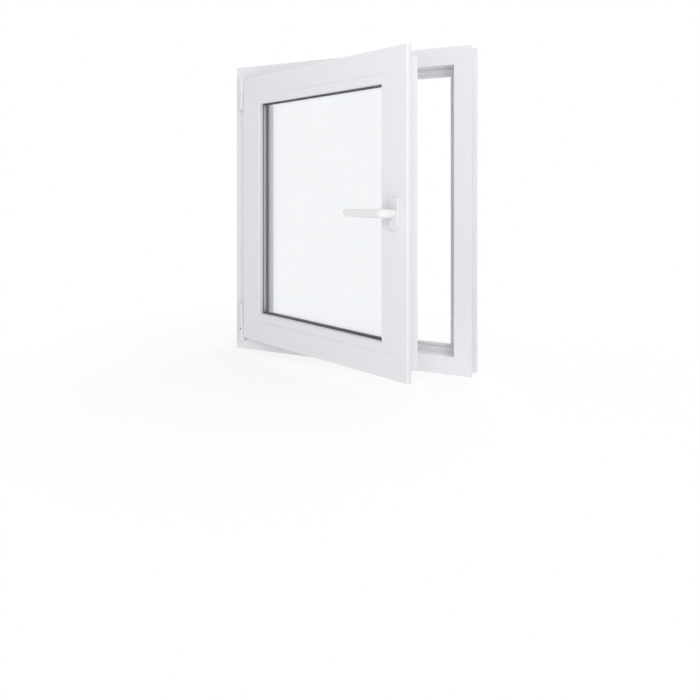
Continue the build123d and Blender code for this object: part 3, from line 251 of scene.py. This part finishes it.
print("coordinates ready, turned back by", round(math.degrees(OPEN_ANGLE), 2), "degrees")

# %% [markdown]
# ## White window profile
# Window plastic is white right through, a little cool, and satin. It could be one flat white, but
# a real bar is never even: the gloss drifts, the die lines catch a low light, and each corner
# carries its weld. The same finish is made for upright and level bars, because the die lines
# follow the bar. The weld of the slim glazing beads is narrower than that of the bars.

# %% Profile finish
WHITE_A = (0.775, 0.770, 0.800, 1.0)
WHITE_B = (0.800, 0.795, 0.825, 1.0)
WELD_WHITE = (0.72, 0.715, 0.745, 1.0)
WELD_SHARE = 0.5            # how far the weld's colour takes over in the groove
PROFILE_GLOSS = (0.26, 0.40)
DIE_LINES = 900.0
HANDLING_CLOUDS = 7.0
ALONG_BAR = 0.01            # share of the noise's speed that is left along a bar
LINE_RELIEF = (0.05, 0.00002)   # strength and depth
WELD_RELIEF = (0.5, 0.0003)
PLASTIC_IOR = 1.53
BAR_WELD = 0.0011           # from the middle of a weld to its edge
BEAD_WELD = 0.0005


def profile_finish(name, upright, swung, groove):
    """White plastic for a bar that stands or lies, on the frame or on the swung sash."""
    material, tree, shader = new_material(name)
    stretch = (1.0, 1.0, ALONG_BAR) if upright else (ALONG_BAR, 1.0, 1.0)
    plain, place = coordinates(tree, swung, stretch)
    face = use_group(tree, skin, Vector=place, Lines=DIE_LINES)
    cloud = use_group(tree, skin, Vector=plain, Clouds=HANDLING_CLOUDS)
    corner = use_group(tree, weld, Vector=plain, Half_Width=FRAME_WIDTH / 2, Half_Height=MIDDLE,
                       Groove=groove)
    white = blend_colour(tree, cloud.outputs["Gloss"], WHITE_A, WHITE_B)
    white = blend_colour(tree, math_node(tree, "MULTIPLY", corner.outputs["Mask"], WELD_SHARE),
                         white, WELD_WHITE)
    feed_all(tree, shader, {"Base Color": white, "IOR": PLASTIC_IOR,
                            "Roughness": spread(tree, cloud.outputs["Gloss"], *PROFILE_GLOSS)})
    lines = bump(tree, shader, face.outputs["Height"], *LINE_RELIEF)
    inverse = math_node(tree, "SUBTRACT", 1.0, corner.outputs["Mask"])
    bump(tree, shader, inverse, *WELD_RELIEF, before=lines)
    return material


frame_upright = profile_finish("frame_upright", upright=True, swung=False, groove=BAR_WELD)
frame_level = profile_finish("frame_level", upright=False, swung=False, groove=BAR_WELD)
sash_upright = profile_finish("sash_upright", upright=True, swung=True, groove=BAR_WELD)
sash_level = profile_finish("sash_level", upright=False, swung=True, groove=BAR_WELD)
bead_upright = profile_finish("bead_upright", upright=True, swung=True, groove=BEAD_WELD)
bead_level = profile_finish("bead_level", upright=False, swung=True, groove=BEAD_WELD)
print("profile finishes made for frame, sash and beads")

# %% [markdown]
# ## Glass
# A pane of float glass is clear with a faint cool cast. The body colour is almost white, because
# each pane is only 4 mm thick. Its surface is as smooth as anything in the house, but it always
# carries a breath of dust, so the roughness drifts between nothing and almost nothing.

# %% Glass finish
GLASS_A = (0.943, 0.952, 0.963, 1.0)
GLASS_B = (0.951, 0.960, 0.971, 1.0)
GLASS_IOR = 1.5
DUST_CLOUDS = 5.0
DUSTY = 0.02                # roughness where the dust is thickest

glass, tree, shader = new_material("clear_glass")
plain, _ = coordinates(tree, swung=True)
dust = use_group(tree, grain, Vector=plain, Clouds=DUST_CLOUDS).outputs["Clouds"]
feed_all(tree, shader, {"Roughness": spread(tree, dust, 0.0, DUSTY),
                        "Base Color": blend_colour(tree, dust, GLASS_A, GLASS_B),
                        "Transmission Weight": 1.0, "Metallic": 0.0, "IOR": GLASS_IOR})
print("glass finish made")

# %% [markdown]
# ## Rubber, moulded caps and painted metal
# Each of these is a base colour that drifts slightly, a roughness that drifts with it, and a fine
# grain in relief. One function makes them, with the numbers that tell them apart.
# The drift is slow on all of them but the lever's paint. On smooth pale paint a slow drift shows
# as faint rings, so there it is nearly as fine as the grain, and leaves a fine speckle instead.

# %% Grained finishes
GRAIN_STRENGTH = 0.25


def grained_finish(name, first, second, rough, size, relief, swung=False, metallic=0.0, coat=0.0,
                   clouds=30.0):
    """A finish between two colours and two degrees of gloss, with a fine grain in relief."""
    material, tree, shader = new_material(name)
    plain, _ = coordinates(tree, swung)
    surface = use_group(tree, grain, Vector=plain, Size=size, Clouds=clouds)
    drift = surface.outputs["Clouds"]
    feed_all(tree, shader, {"Base Color": blend_colour(tree, drift, first, second),
                            "Roughness": spread(tree, drift, *rough),
                            "Metallic": metallic, "Coat Weight": coat})
    bump(tree, shader, surface.outputs["Height"], GRAIN_STRENGTH, relief)
    return material


RUBBER = {"rough": (0.55, 0.7), "size": 1800.0, "relief": 0.0001}
frame_gasket = grained_finish("grey_gasket", (0.62, 0.63, 0.64, 1), (0.67, 0.68, 0.69, 1),
                              **RUBBER)
sash_gasket = grained_finish("grey_gasket_sash", (0.62, 0.66, 0.69, 1), (0.68, 0.72, 0.75, 1),
                             swung=True, **RUBBER)
bead_rubber = grained_finish("grey_gasket_bead", (0.13, 0.135, 0.14, 1), (0.18, 0.185, 0.19, 1),
                             swung=True, **RUBBER)
sealant = grained_finish("edge_sealant", (0.19, 0.195, 0.20, 1), (0.24, 0.245, 0.25, 1),
                         rough=(0.5, 0.7), size=900.0, relief=0.0002, swung=True)
cap_plastic = grained_finish("cap_plastic", (0.725, 0.72, 0.745, 1), (0.74, 0.735, 0.76, 1),
                             rough=(0.30, 0.42), size=2600.0, relief=0.00005)
bush_plastic = grained_finish("bush_plastic", (0.62, 0.62, 0.60, 1), (0.68, 0.68, 0.66, 1),
                              rough=(0.45, 0.55), size=1600.0, relief=0.00005)
block_plastic = grained_finish("block_plastic", (0.08, 0.20, 0.42, 1), (0.10, 0.24, 0.48, 1),
                               rough=(0.4, 0.5), size=1200.0, relief=0.0001, swung=True)
handle_paint = grained_finish("handle_paint", (0.774, 0.776, 0.784, 1), (0.780, 0.782, 0.790, 1),
                              rough=(0.27, 0.28), size=2600.0, relief=0.000005, coat=0.3,
                              clouds=1100.0)
hinge_paint = grained_finish("hinge_paint", (0.76, 0.76, 0.77, 1), (0.775, 0.775, 0.785, 1),
                             rough=(0.3, 0.4), size=1500.0, relief=0.00005)
print("grained finishes made for gaskets, sealant, caps, bushes, blocks, lever and hinges")

# %% [markdown]
# ## Zinc on steel
# Hot-dip zinc freezes in flat crystals, so the steel inside the bars shows a patchwork of greys:
# cells of Voronoi noise, each with its own brightness.

# %% Galvanised steel
ZINC_DARK = (0.42, 0.44, 0.46, 1)
ZINC_LIGHT = (0.62, 0.64, 0.66, 1)
ZINC_CELLS = 160.0
ZINC_GLOSS = (0.32, 0.5)
ZINC_RELIEF = (0.15, 0.00005)

zinc, tree, shader = new_material("galvanised_steel")
plain, _ = coordinates(tree)
cells = add(tree, "ShaderNodeTexVoronoi", Vector=plain, Scale=ZINC_CELLS)
patch = add(tree, "ShaderNodeSeparateColor", Color=cells.outputs["Color"]).outputs[0]
feed_all(tree, shader, {"Base Color": blend_colour(tree, patch, ZINC_DARK, ZINC_LIGHT),
                        "Roughness": spread(tree, patch, *ZINC_GLOSS), "Metallic": 1.0})
bump(tree, shader, patch, *ZINC_RELIEF)
print("galvanised steel made")

# %% [markdown]
# ## Brushed steel
# The lock parts are plated in a bath instead, which leaves them even and finely brushed along
# their length. Noise that is stretched along Z gives strokes that run up and down.

# %% Brushed finishes
STROKES = 1600.0
ALONG_STROKE = 0.02         # share of the noise's speed that is left along a stroke
STROKE_RELIEF = (0.1, 0.00003)


def brushed_finish(name, first, second, rough, swung):
    """Plated steel with fine upright strokes."""
    material, tree, shader = new_material(name)
    _, place = coordinates(tree, swung, (1.0, 1.0, ALONG_STROKE))
    strokes = add(tree, "ShaderNodeTexNoise", Vector=place, Scale=STROKES, Detail=3.0,
                  Roughness=0.6).outputs[0]
    feed_all(tree, shader, {"Base Color": blend_colour(tree, strokes, first, second),
                            "Roughness": spread(tree, strokes, *rough), "Metallic": 1.0})
    bump(tree, shader, strokes, *STROKE_RELIEF)
    return material


LOCK_STEEL = {"first": (0.60, 0.61, 0.62, 1), "second": (0.70, 0.71, 0.72, 1),
              "rough": (0.24, 0.38)}
lock_steel_frame = brushed_finish("lock_steel_frame", swung=False, **LOCK_STEEL)
lock_steel_sash = brushed_finish("lock_steel_sash", swung=True, **LOCK_STEEL)
polished_steel = brushed_finish("polished_steel", (0.66, 0.67, 0.68, 1), (0.74, 0.75, 0.76, 1),
                                rough=(0.12, 0.22), swung=False)
print("brushed steel made for keepers, lock and pins")

# %% [markdown]
# ## The spacer between the panes
# The bar that keeps the panes apart is a thin aluminium tube filled with drying grains. Two rows
# of pinholes in its inner face let the grains breathe. The holes are not cut: each is painted as
# a grey spot, painted shade for the dark hollow behind it. They are placed by arithmetic:
# ping-pong folds the length into a zigzag between nothing and one spacing, and wherever the
# zigzag passes half a spacing there is a hole, so the holes come every 1.5 mm. A thin line of
# black butyl, squeezed out when the panes are pressed on, runs along both edges of the tube and
# is not metal.

# %% Spacer finish
SASH_FRONT = -0.0695        # the closed sash's face towards the room
INNER_PANE_BACK = 0.020     # from that face to the gap between the panes
GLASS_GAP = 0.016
TUBE_MIDDLE = SASH_FRONT + INNER_PANE_BACK + GLASS_GAP / 2
UPRIGHT_FROM = 0.250        # the tube's uprights lie farther out than this
HOLE_SPACING = 0.0015
ROW_OFFSET = 0.003          # from the middle of the tube to each row of holes
HALF_HOLE = (0.0004, 0.0002)    # across the tube and along it
BUTYL_OFFSET = 0.0037       # from a row of holes out to the butyl
# how far the painted shade of a pinhole covers the metal
HOLE_SHADE = 0.5
TUBE_DULL = (0.72, 0.75, 0.78, 1)
TUBE_BRIGHT = (0.80, 0.83, 0.86, 1)
TUBE_GLOSS = (0.3, 0.42)
# the grey painted into each pinhole, as shade of the hollow tube
HOLE_SHADE_GREY = (0.25, 0.25, 0.26, 1)
BUTYL_BLACK = (0.05, 0.055, 0.06, 1)


def near(tree, value, reach):
    """1 where a value is less than reach away from nothing, and 0 elsewhere."""
    return math_node(tree, "LESS_THAN", math_node(tree, "ABSOLUTE", value), reach)


def hole_along(tree, length):
    """1 where a length passes through a hole, and 0 elsewhere."""
    zigzag = math_node(tree, "PINGPONG", length, HOLE_SPACING)
    return near(tree, math_node(tree, "SUBTRACT", zigzag, HOLE_SPACING / 2), HALF_HOLE[1])


spacer, tree, shader = new_material("spacer_aluminium")
plain, _ = coordinates(tree, swung=True)
across, depth, up = add(tree, "ShaderNodeSeparateXYZ", Vector=plain).outputs
off_middle = math_node(tree, "ABSOLUTE", math_node(tree, "SUBTRACT", depth, TUBE_MIDDLE))
off_row = math_node(tree, "SUBTRACT", off_middle, ROW_OFFSET)
upright_bar = math_node(tree, "GREATER_THAN", math_node(tree, "ABSOLUTE", across), UPRIGHT_FROM)
level_bar = math_node(tree, "SUBTRACT", 1.0, upright_bar)
on_bar = math_node(tree, "ADD", math_node(tree, "MULTIPLY", hole_along(tree, up), upright_bar),
                   math_node(tree, "MULTIPLY", hole_along(tree, across), level_bar))
pinhole = math_node(tree, "MULTIPLY", near(tree, off_row, HALF_HOLE[0]), on_bar)
butyl = math_node(tree, "GREATER_THAN", off_row, BUTYL_OFFSET)
rolled = use_group(tree, grain, Vector=plain).outputs["Clouds"]
metal = blend_colour(tree, rolled, TUBE_DULL, TUBE_BRIGHT)
# Painted shade: each pinhole is a grey spot on the metal, not a cut.
holes_shaded = blend_colour(tree, math_node(tree, "MULTIPLY", pinhole, HOLE_SHADE), metal, HOLE_SHADE_GREY)
feed_all(tree, shader, {"Base Color": blend_colour(tree, butyl, holes_shaded, BUTYL_BLACK),
                        "Metallic": math_node(tree, "SUBTRACT", 1.0, butyl),
                        "Roughness": spread(tree, rolled, *TUBE_GLOSS)})
print("spacer finish made, with a hole every", HOLE_SPACING, "m")

# %% [markdown]
# ## Dress the pieces
# Each piece of the model gets one finish. A table of finish to pieces is easier to check than one
# line for each.

# %% Give every piece its finish
finishes = {
    frame_level: ["frame_head", "frame_sill"],
    frame_upright: ["frame_jamb_hinge", "frame_jamb_lock"],
    sash_level: ["sash_top_rail", "sash_bottom_rail"],
    sash_upright: ["sash_stile_hinge", "sash_stile_lock"],
    bead_level: ["glazing_bead_top", "glazing_bead_bottom"],
    bead_upright: ["glazing_bead_hinge", "glazing_bead_lock"],
    frame_gasket: ["frame_stop_gasket"],
    sash_gasket: ["sash_overlap_gasket", "outer_glazing_gasket"],
    bead_rubber: ["bead_gasket"],
    glass: ["inner_pane", "outer_pane"],
    spacer: ["spacer_bar"],
    sealant: ["edge_seal"],
    block_plastic: ["glazing_blocks"],
    zinc: ["frame_reinforcement", "sash_reinforcement", "keeper_screws", "hinge_bracket_screws",
           "hinge_band_screws", "faceplate_screws", "handle_screws", "handle_spindle"],
    hinge_paint: ["lower_hinge_bracket", "upper_hinge_bracket", "lower_hinge_band",
                  "upper_hinge_band"],
    polished_steel: ["lower_hinge_pin", "upper_hinge_pin", "locking_cams"],
    lock_steel_frame: ["lock_keepers"],
    lock_steel_sash: ["gearbox_case", "gearbox_cover", "lock_faceplate", "drive_rod",
                      "gear_pinion"],
    cap_plastic: ["lower_hinge_cover", "upper_hinge_cover", "lower_band_sleeve",
                  "upper_band_sleeve", "drain_caps", "rosette_cover"],
    bush_plastic: ["hinge_bushes", "rosette_base"],
    handle_paint: ["handle_lever"],
}
dressed = []
for finish, names in finishes.items():
    for name in names:
        node = frame["nodes"][name]
        node.data.materials.clear()
        node.data.materials.append(finish)
        dressed.append(name)
bare = sorted(set(frame["nodes"]) - set(dressed))
print("pieces dressed", len(dressed), "bare", bare)

# %% [markdown]
# ## Tools for turned pieces
# The small steel pieces are made as on a lathe, by spinning half of their outline, and a Boolean
# takes a recess out of them.

# %% Spin, carve and finish
SAME_PLACE = 1e-6           # corners closer than this are one corner


def finished(name, shape, material, sharp=35.0):
    """Turn a bmesh into an object at the origin, smooth except at sharp edges."""
    mesh = bpy.data.meshes.new(name)
    bmesh.ops.recalc_face_normals(shape, faces=shape.faces)
    shape.to_mesh(mesh)
    shape.free()
    for face in mesh.polygons:
        face.use_smooth = True
    mesh.set_sharp_from_angle(angle=math.radians(sharp))
    mesh.materials.append(material)
    piece = bpy.data.objects.new(name, mesh)
    bpy.context.scene.collection.objects.link(piece)
    return piece


def spun(outline, steps=24):
    """Spin half an outline, given as (radius, height) pairs, about the Z axis."""
    shape = bmesh.new()
    corners = [shape.verts.new((radius, 0.0, height)) for radius, height in outline]
    edges = [shape.edges.new(pair) for pair in zip(corners, corners[1:])]
    bmesh.ops.spin(shape, geom=corners + edges, cent=(0, 0, 0), axis=(0, 0, 1),
                   dvec=(0, 0, 0), angle=math.tau, steps=steps, use_merge=True)
    bmesh.ops.remove_doubles(shape, verts=shape.verts, dist=SAME_PLACE)
    bmesh.ops.recalc_face_normals(shape, faces=shape.faces)
    return shape


def carved(shape, cutter):
    """Take one closed shape out of another with an exact Boolean."""
    solids = []
    for part in (shape, cutter):
        mesh = bpy.data.meshes.new("carving")
        part.to_mesh(mesh)
        part.free()
        solid = bpy.data.objects.new("carving", mesh)
        bpy.context.scene.collection.objects.link(solid)
        solids.append(solid)
    cut = solids[0].modifiers.new("cut", "BOOLEAN")
    cut.operation = "DIFFERENCE"
    cut.solver = "EXACT"
    cut.object = solids[1]
    view = bpy.context.evaluated_depsgraph_get()
    result = bmesh.new()
    result.from_mesh(solids[0].evaluated_get(view).to_mesh())
    for solid in solids:
        bpy.data.objects.remove(solid)
    return result


print("tools for turned pieces ready")

# %% [markdown]
# ## Crosshead screws
# The lock plates, the keepers and the hinges are held by countersunk screws. Up close, a screw
# without its cross looks like a rivet. A cross could be painted on, but a real one is a recess
# with walls that catch the light, so it is cut out of the head. The cross has two slots, and each
# is cut by itself: two bars that run through each other are not one closed shape, and cutting
# with both at once left no screw at all.

# %% Screw and recess
HEAD = 0.0038               # radius
SHANK = 0.0018              # radius between the threads
CREST = 0.0020              # radius over the threads
HEAD_EDGE = 0.0002          # bevel on the rim of the head
HEAD_DEPTH = 0.0022         # where the cone of the head meets the shank
PLAIN_SHANK = 0.003         # where the thread starts, below the top of the head
POINT = 0.002
SCREW_LENGTH = 0.0215
THREAD_PITCH = 0.0014
SLOT = (0.0042, 0.0009, 0.0024, 1.0)    # a slot's length and width, and twice its depth
SLOT_TAPER = 0.45           # the floor of a slot, as a share of its mouth


def crosshead_screw():
    """A countersunk screw with its head's top at the origin, pointing along -Z."""
    outline = [(0.0, 0.0), (HEAD - HEAD_EDGE, 0.0), (HEAD, -HEAD_EDGE), (SHANK, -HEAD_DEPTH)]
    threads = int((SCREW_LENGTH - PLAIN_SHANK - POINT) / THREAD_PITCH)
    for turn in range(threads):
        start = -PLAIN_SHANK - turn * THREAD_PITCH
        outline += [(SHANK, start), (CREST, start - THREAD_PITCH / 2)]
    outline += [(SHANK, -SCREW_LENGTH + POINT), (0.0, -SCREW_LENGTH)]
    screw = spun(outline)
    for turn in (0.0, math.pi / 2):
        slot = bmesh.new()
        place = Matrix.Rotation(turn, 4, "Z") @ Matrix.Diagonal(SLOT)
        bar = bmesh.ops.create_cube(slot, size=1.0, matrix=place)
        low = [corner for corner in bar["verts"] if corner.co.z < 0.0]
        bmesh.ops.scale(slot, vec=(SLOT_TAPER, SLOT_TAPER, 1.0), verts=low)
        screw = carved(screw, slot)
    return screw


screw_mesh = bpy.data.meshes.new("one_screw")
one_screw = crosshead_screw()
one_screw.to_mesh(screw_mesh)
one_screw.free()
print("one screw has", len(screw_mesh.polygons), "faces")

# %% [markdown]
# ## Setting the screws
# The places come from the model: each loose piece of a screw node is one screw, and the end that
# points outwards is its head. Reading them there keeps the two models together if a size changes.
# Screws are tightened by hand, so each cross ends up at its own angle.

# %% Replace the plain screws
HEAD_FACE = 1e-5            # corners this close to a screw's top belong to its face
HAND_TURN = 0.7             # each screw is left turned this much farther than the last, radians


def screw_heads(name, outward):
    """The middle of each screw's head in a CAD node."""
    shape = bmesh.new()
    shape.from_mesh(frame["nodes"][name].data)
    bmesh.ops.remove_doubles(shape, verts=shape.verts, dist=SAME_PLACE)
    waiting = set(shape.verts)
    heads = []
    while waiting:
        stack = [waiting.pop()]
        island = []
        while stack:
            corner = stack.pop()
            island.append(corner.co.copy())
            for edge in corner.link_edges:
                other = edge.other_vert(corner)
                if other in waiting:
                    waiting.remove(other)
                    stack.append(other)
        top = max(point.dot(outward) for point in island)
        rim = [point for point in island if top - point.dot(outward) < HEAD_FACE]
        heads.append(sum(rim, Vector()) / len(rim))
    shape.free()
    return sorted(heads, key=lambda point: point.z)


def set_screws(name, outward, body):
    """Make the crosshead screws that stand for one CAD node."""
    outward = Vector(outward).normalized()
    facing = outward.to_track_quat("Z", "Y").to_matrix().to_4x4()
    together = bmesh.new()
    for number, head in enumerate(screw_heads(name, outward)):
        place = (Matrix.Translation(head) @ facing
                 @ Matrix.Rotation(HAND_TURN * number, 4, "Z"))
        before = len(together.verts)
        together.from_mesh(screw_mesh)
        together.verts.ensure_lookup_table()
        bmesh.ops.transform(together, matrix=place, verts=together.verts[before:])
    piece = finished(name + "_crosshead", together, zinc)
    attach(piece, body)
    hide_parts(name)
    return piece


screw_sets = [
    ("keeper_screws", (-1, 0, 0), "frame"),
    ("hinge_bracket_screws", (0, -1, 0), "frame"),
    ("hinge_band_screws", SWUNG @ Vector((-1, 0, 0)), "sash"),
    ("faceplate_screws", SWUNG @ Vector((1, 0, 0)), "sash"),
]
for name, outward, body in screw_sets:
    piece = set_screws(name, outward, body)
    print(piece.name, len(piece.data.polygons), "faces")

# %% [markdown]
# ## The hinge's adjusting screw
# The lower hinge can be set with a key, through a small hole in its white cover. What shows in
# the hole is a blackened grub screw with a hexagon socket. Its steel is made almost black, darker
# than blackened steel is, as painted shade for the deep hole it sits in.

# %% Grub screw
ADJUSTER_DROP = 0.011       # below the top of the lower bracket
GRUB_OUT = 0.0070           # the grub screw's face, in front of the hinge's axis
GRUB = 0.0022               # radius
GRUB_EDGE = 0.0003
GRUB_LENGTH = 0.0024
SOCKET = 0.0013             # from the middle of the hexagon to its corners
SOCKET_CUT = 0.0030         # twice the socket's depth

bracket_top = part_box("lower_hinge_bracket")[1].z
grub_front = Vector((PIN.x, PIN.y - GRUB_OUT, bracket_top - ADJUSTER_DROP))
grub = spun([(0.0, 0.0), (GRUB - GRUB_EDGE, 0.0), (GRUB, -GRUB_EDGE), (GRUB, -GRUB_LENGTH),
             (0.0, -GRUB_LENGTH)])
socket = bmesh.new()
bmesh.ops.create_cone(socket, cap_ends=True, segments=6, radius1=SOCKET, radius2=SOCKET,
                      depth=SOCKET_CUT)
grub = carved(grub, socket)
bmesh.ops.transform(grub, verts=grub.verts,
                    matrix=Matrix.Translation(grub_front) @ Matrix.Rotation(math.pi / 2, 4, "X"))
# Painted shade: this steel is darker than blackened steel, for the shade of the hole it sits in.
blackened_steel_and_shade = grained_finish("blackened_steel_and_shade", (0.02, 0.02, 0.024, 1), (0.04, 0.04, 0.045, 1),
                            rough=(0.45, 0.6), size=2500.0, relief=0.00002, metallic=1.0)
adjuster = finished("hinge_adjuster", grub, blackened_steel_and_shade)
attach(adjuster, "frame")
print("grub screw has", len(adjuster.data.polygons), "faces, at",
      [round(v, 4) for v in grub_front])

# %% [markdown]
# ## The painted lever
# The lever is a die casting, ground by hand and painted, so no line shows where its neck runs
# into its grip. A copy of the CAD lever is turned into an even net of small squares, which a few
# rounds of smoothing then level, as grinding and paint do. The new skin lies within a quarter of
# a millimetre of the CAD lever nearly everywhere. Where it shows, the most is 0.65 mm, at the
# sharp rim round the foot of the neck, and the corners of the hidden square hole lose 1.3 mm.

# %% Ground lever
NET = 0.0007
GRINDING = 0.5              # how far one round moves a corner towards its neighbours' middle
ROUNDS = 8
LEVER_SHARP = 50.0          # degrees

casting = bmesh.new()
casting.from_mesh(frame["nodes"]["handle_lever"].data)
bmesh.ops.remove_doubles(casting, verts=casting.verts, dist=SAME_PLACE)
rough_lever = finished("lever_rough", casting, handle_paint)
even = rough_lever.modifiers.new("even", "REMESH")
even.mode = "VOXEL"
even.voxel_size = NET
ground = rough_lever.modifiers.new("ground", "SMOOTH")
ground.factor = GRINDING
ground.iterations = ROUNDS
view = bpy.context.evaluated_depsgraph_get()
casting = bmesh.new()
casting.from_mesh(rough_lever.evaluated_get(view).to_mesh())
bpy.data.objects.remove(rough_lever)
lever = finished("painted_lever", casting, handle_paint, LEVER_SHARP)
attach(lever, "handle")
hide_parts("handle_lever")
print("lever has", len(lever.data.polygons), "faces")

# %% [markdown]
# ## Studio floor
# The window stands on a plain white floor. A painted floor alone would look grey beside a white
# background, so its shader is mixed with a plain white glow: most of it near the window, and all
# of it from a metre away, where the floor melts into the background. What is left of the painted
# floor near the window takes its shadow. The glow also lights the window from below.

# %% Floor
FLOOR_REACH = 12.0
GLOW_NEAR = 0.78            # share of the glow beside the window
FADE_FROM = 0.3             # distances from the window's origin
FADE_TO = 1.0
FLOOR_PAINT = (0.97, 0.97, 0.97, 1.0)
FLOOR_DULL = 0.9

floor_mesh = bmesh.new()
bmesh.ops.create_grid(floor_mesh, x_segments=1, y_segments=1, size=FLOOR_REACH)
floor_data = bpy.data.meshes.new("studio_floor")
floor_mesh.to_mesh(floor_data)
floor_mesh.free()
floor = bpy.data.objects.new("studio_floor", floor_data)
bpy.context.scene.collection.objects.link(floor)
floor_finish, tree, shader = new_material("studio_floor")
feed_all(tree, shader, {"Base Color": FLOOR_PAINT, "Roughness": FLOOR_DULL})
place = tree.nodes.new("ShaderNodeTexCoord").outputs["Object"]
distance = add(tree, "ShaderNodeVectorMath", Vector=place)
distance.operation = "LENGTH"
away = add(tree, "ShaderNodeMapRange", Value=distance.outputs["Value"], From_Min=FADE_FROM,
           From_Max=FADE_TO, To_Min=GLOW_NEAR).outputs[0]
glow = add(tree, "ShaderNodeEmission", Color=(1.0, 1.0, 1.0, 1.0), Strength=1.0)
mix = add(tree, "ShaderNodeMixShader", Fac=away)
tree.links.new(shader.outputs[0], mix.inputs[1])
tree.links.new(glow.outputs[0], mix.inputs[2])
tree.links.new(mix.outputs[0], tree.nodes["Material Output"].inputs["Surface"])
floor_data.materials.append(floor_finish)
print("floor is", round(floor.dimensions.x, 1), "m wide")

# %% [markdown]
# ## Studio background
# The world is white for three kinds of rays: those of the camera, of a reflection and of the
# glass. For all others it is dimmer, and gives a low even light from all round, so that the
# lamps can shape the bars.

# %% World
FILL = 0.36                 # strength of the background for all rays but the three named above

world = bpy.data.worlds.new("studio")
bpy.context.scene.world = world
world.use_nodes = True
tree = world.node_tree
sight = tree.nodes.new("ShaderNodeLightPath")
seen = math_node(tree, "MAXIMUM", sight.outputs["Is Camera Ray"], math_node(
    tree, "MAXIMUM", sight.outputs["Is Glossy Ray"], sight.outputs["Is Transmission Ray"]))
level = math_node(tree, "ADD", math_node(tree, "MULTIPLY", seen, 1.0 - FILL), FILL)
feed_all(tree, tree.nodes["Background"], {"Strength": level, "Color": (1.0, 1.0, 1.0, 1.0)})
print("world made, with a fill of", FILL)

# %% [markdown]
# ## Lamps
# Five soft round lamps stand about the window. The strongest is behind it and lights the
# rebates, and the next hangs overhead for the level faces. Two stand in front and to the right,
# and a weak one stands low on the left. They stay out of sight themselves, also through the
# glass and as reflections in it.

# %% Lamps
LAMPS = [    # name, place, size across, power in watts
    ("key_lamp", (1.7, -1.6, 0.85), 0.8, 10.5),
    ("front_lamp", (0.8, -2.2, 1.25), 0.9, 11.5),
    ("left_lamp", (-0.6, -2.3, 0.4), 0.7, 3.2),
    ("top_lamp", (0.6, -0.4, 2.6), 1.6, 18.0),
    ("back_lamp", (0.3, 1.7, 1.5), 1.2, 20.0),
]
LAMP_TARGET = Vector((0.0, -0.1, 0.43))

for name, place, size, power in LAMPS:
    data = bpy.data.lights.new(name, "AREA")
    data.shape = "DISK"
    data.size = size
    data.energy = power
    lamp = bpy.data.objects.new(name, data)
    lamp.location = place
    lamp.rotation_euler = (LAMP_TARGET - Vector(place)).to_track_quat("-Z", "Y").to_euler()
    lamp.visible_camera = False
    lamp.visible_transmission = False
    lamp.visible_glossy = False
    bpy.context.scene.collection.objects.link(lamp)
print("lamps made:", len(LAMPS))

# %% [markdown]
# ## Camera
# The camera looks level, so that the uprights of the window stay upright in the picture. Instead
# of tilting it, its frame is shifted down.

# %% Camera
CAMERA_PLACE = (0.7989, -1.6750, 0.4839)
CAMERA_TURN = 25.66         # degrees
LENS = 32.855               # millimetres
FRAME_SHIFT = -0.2282       # as a share of the picture's width

lens_data = bpy.data.cameras.new("camera")
lens_data.lens = LENS
lens_data.shift_y = FRAME_SHIFT
camera = bpy.data.objects.new("camera", lens_data)
camera.location = CAMERA_PLACE
camera.rotation_euler = (math.radians(90.0), 0.0, math.radians(CAMERA_TURN))
bpy.context.scene.collection.objects.link(camera)
bpy.context.scene.camera = camera
bpy.context.scene.view_settings.view_transform = "Standard"
print("camera at", [round(v, 3) for v in camera.location])
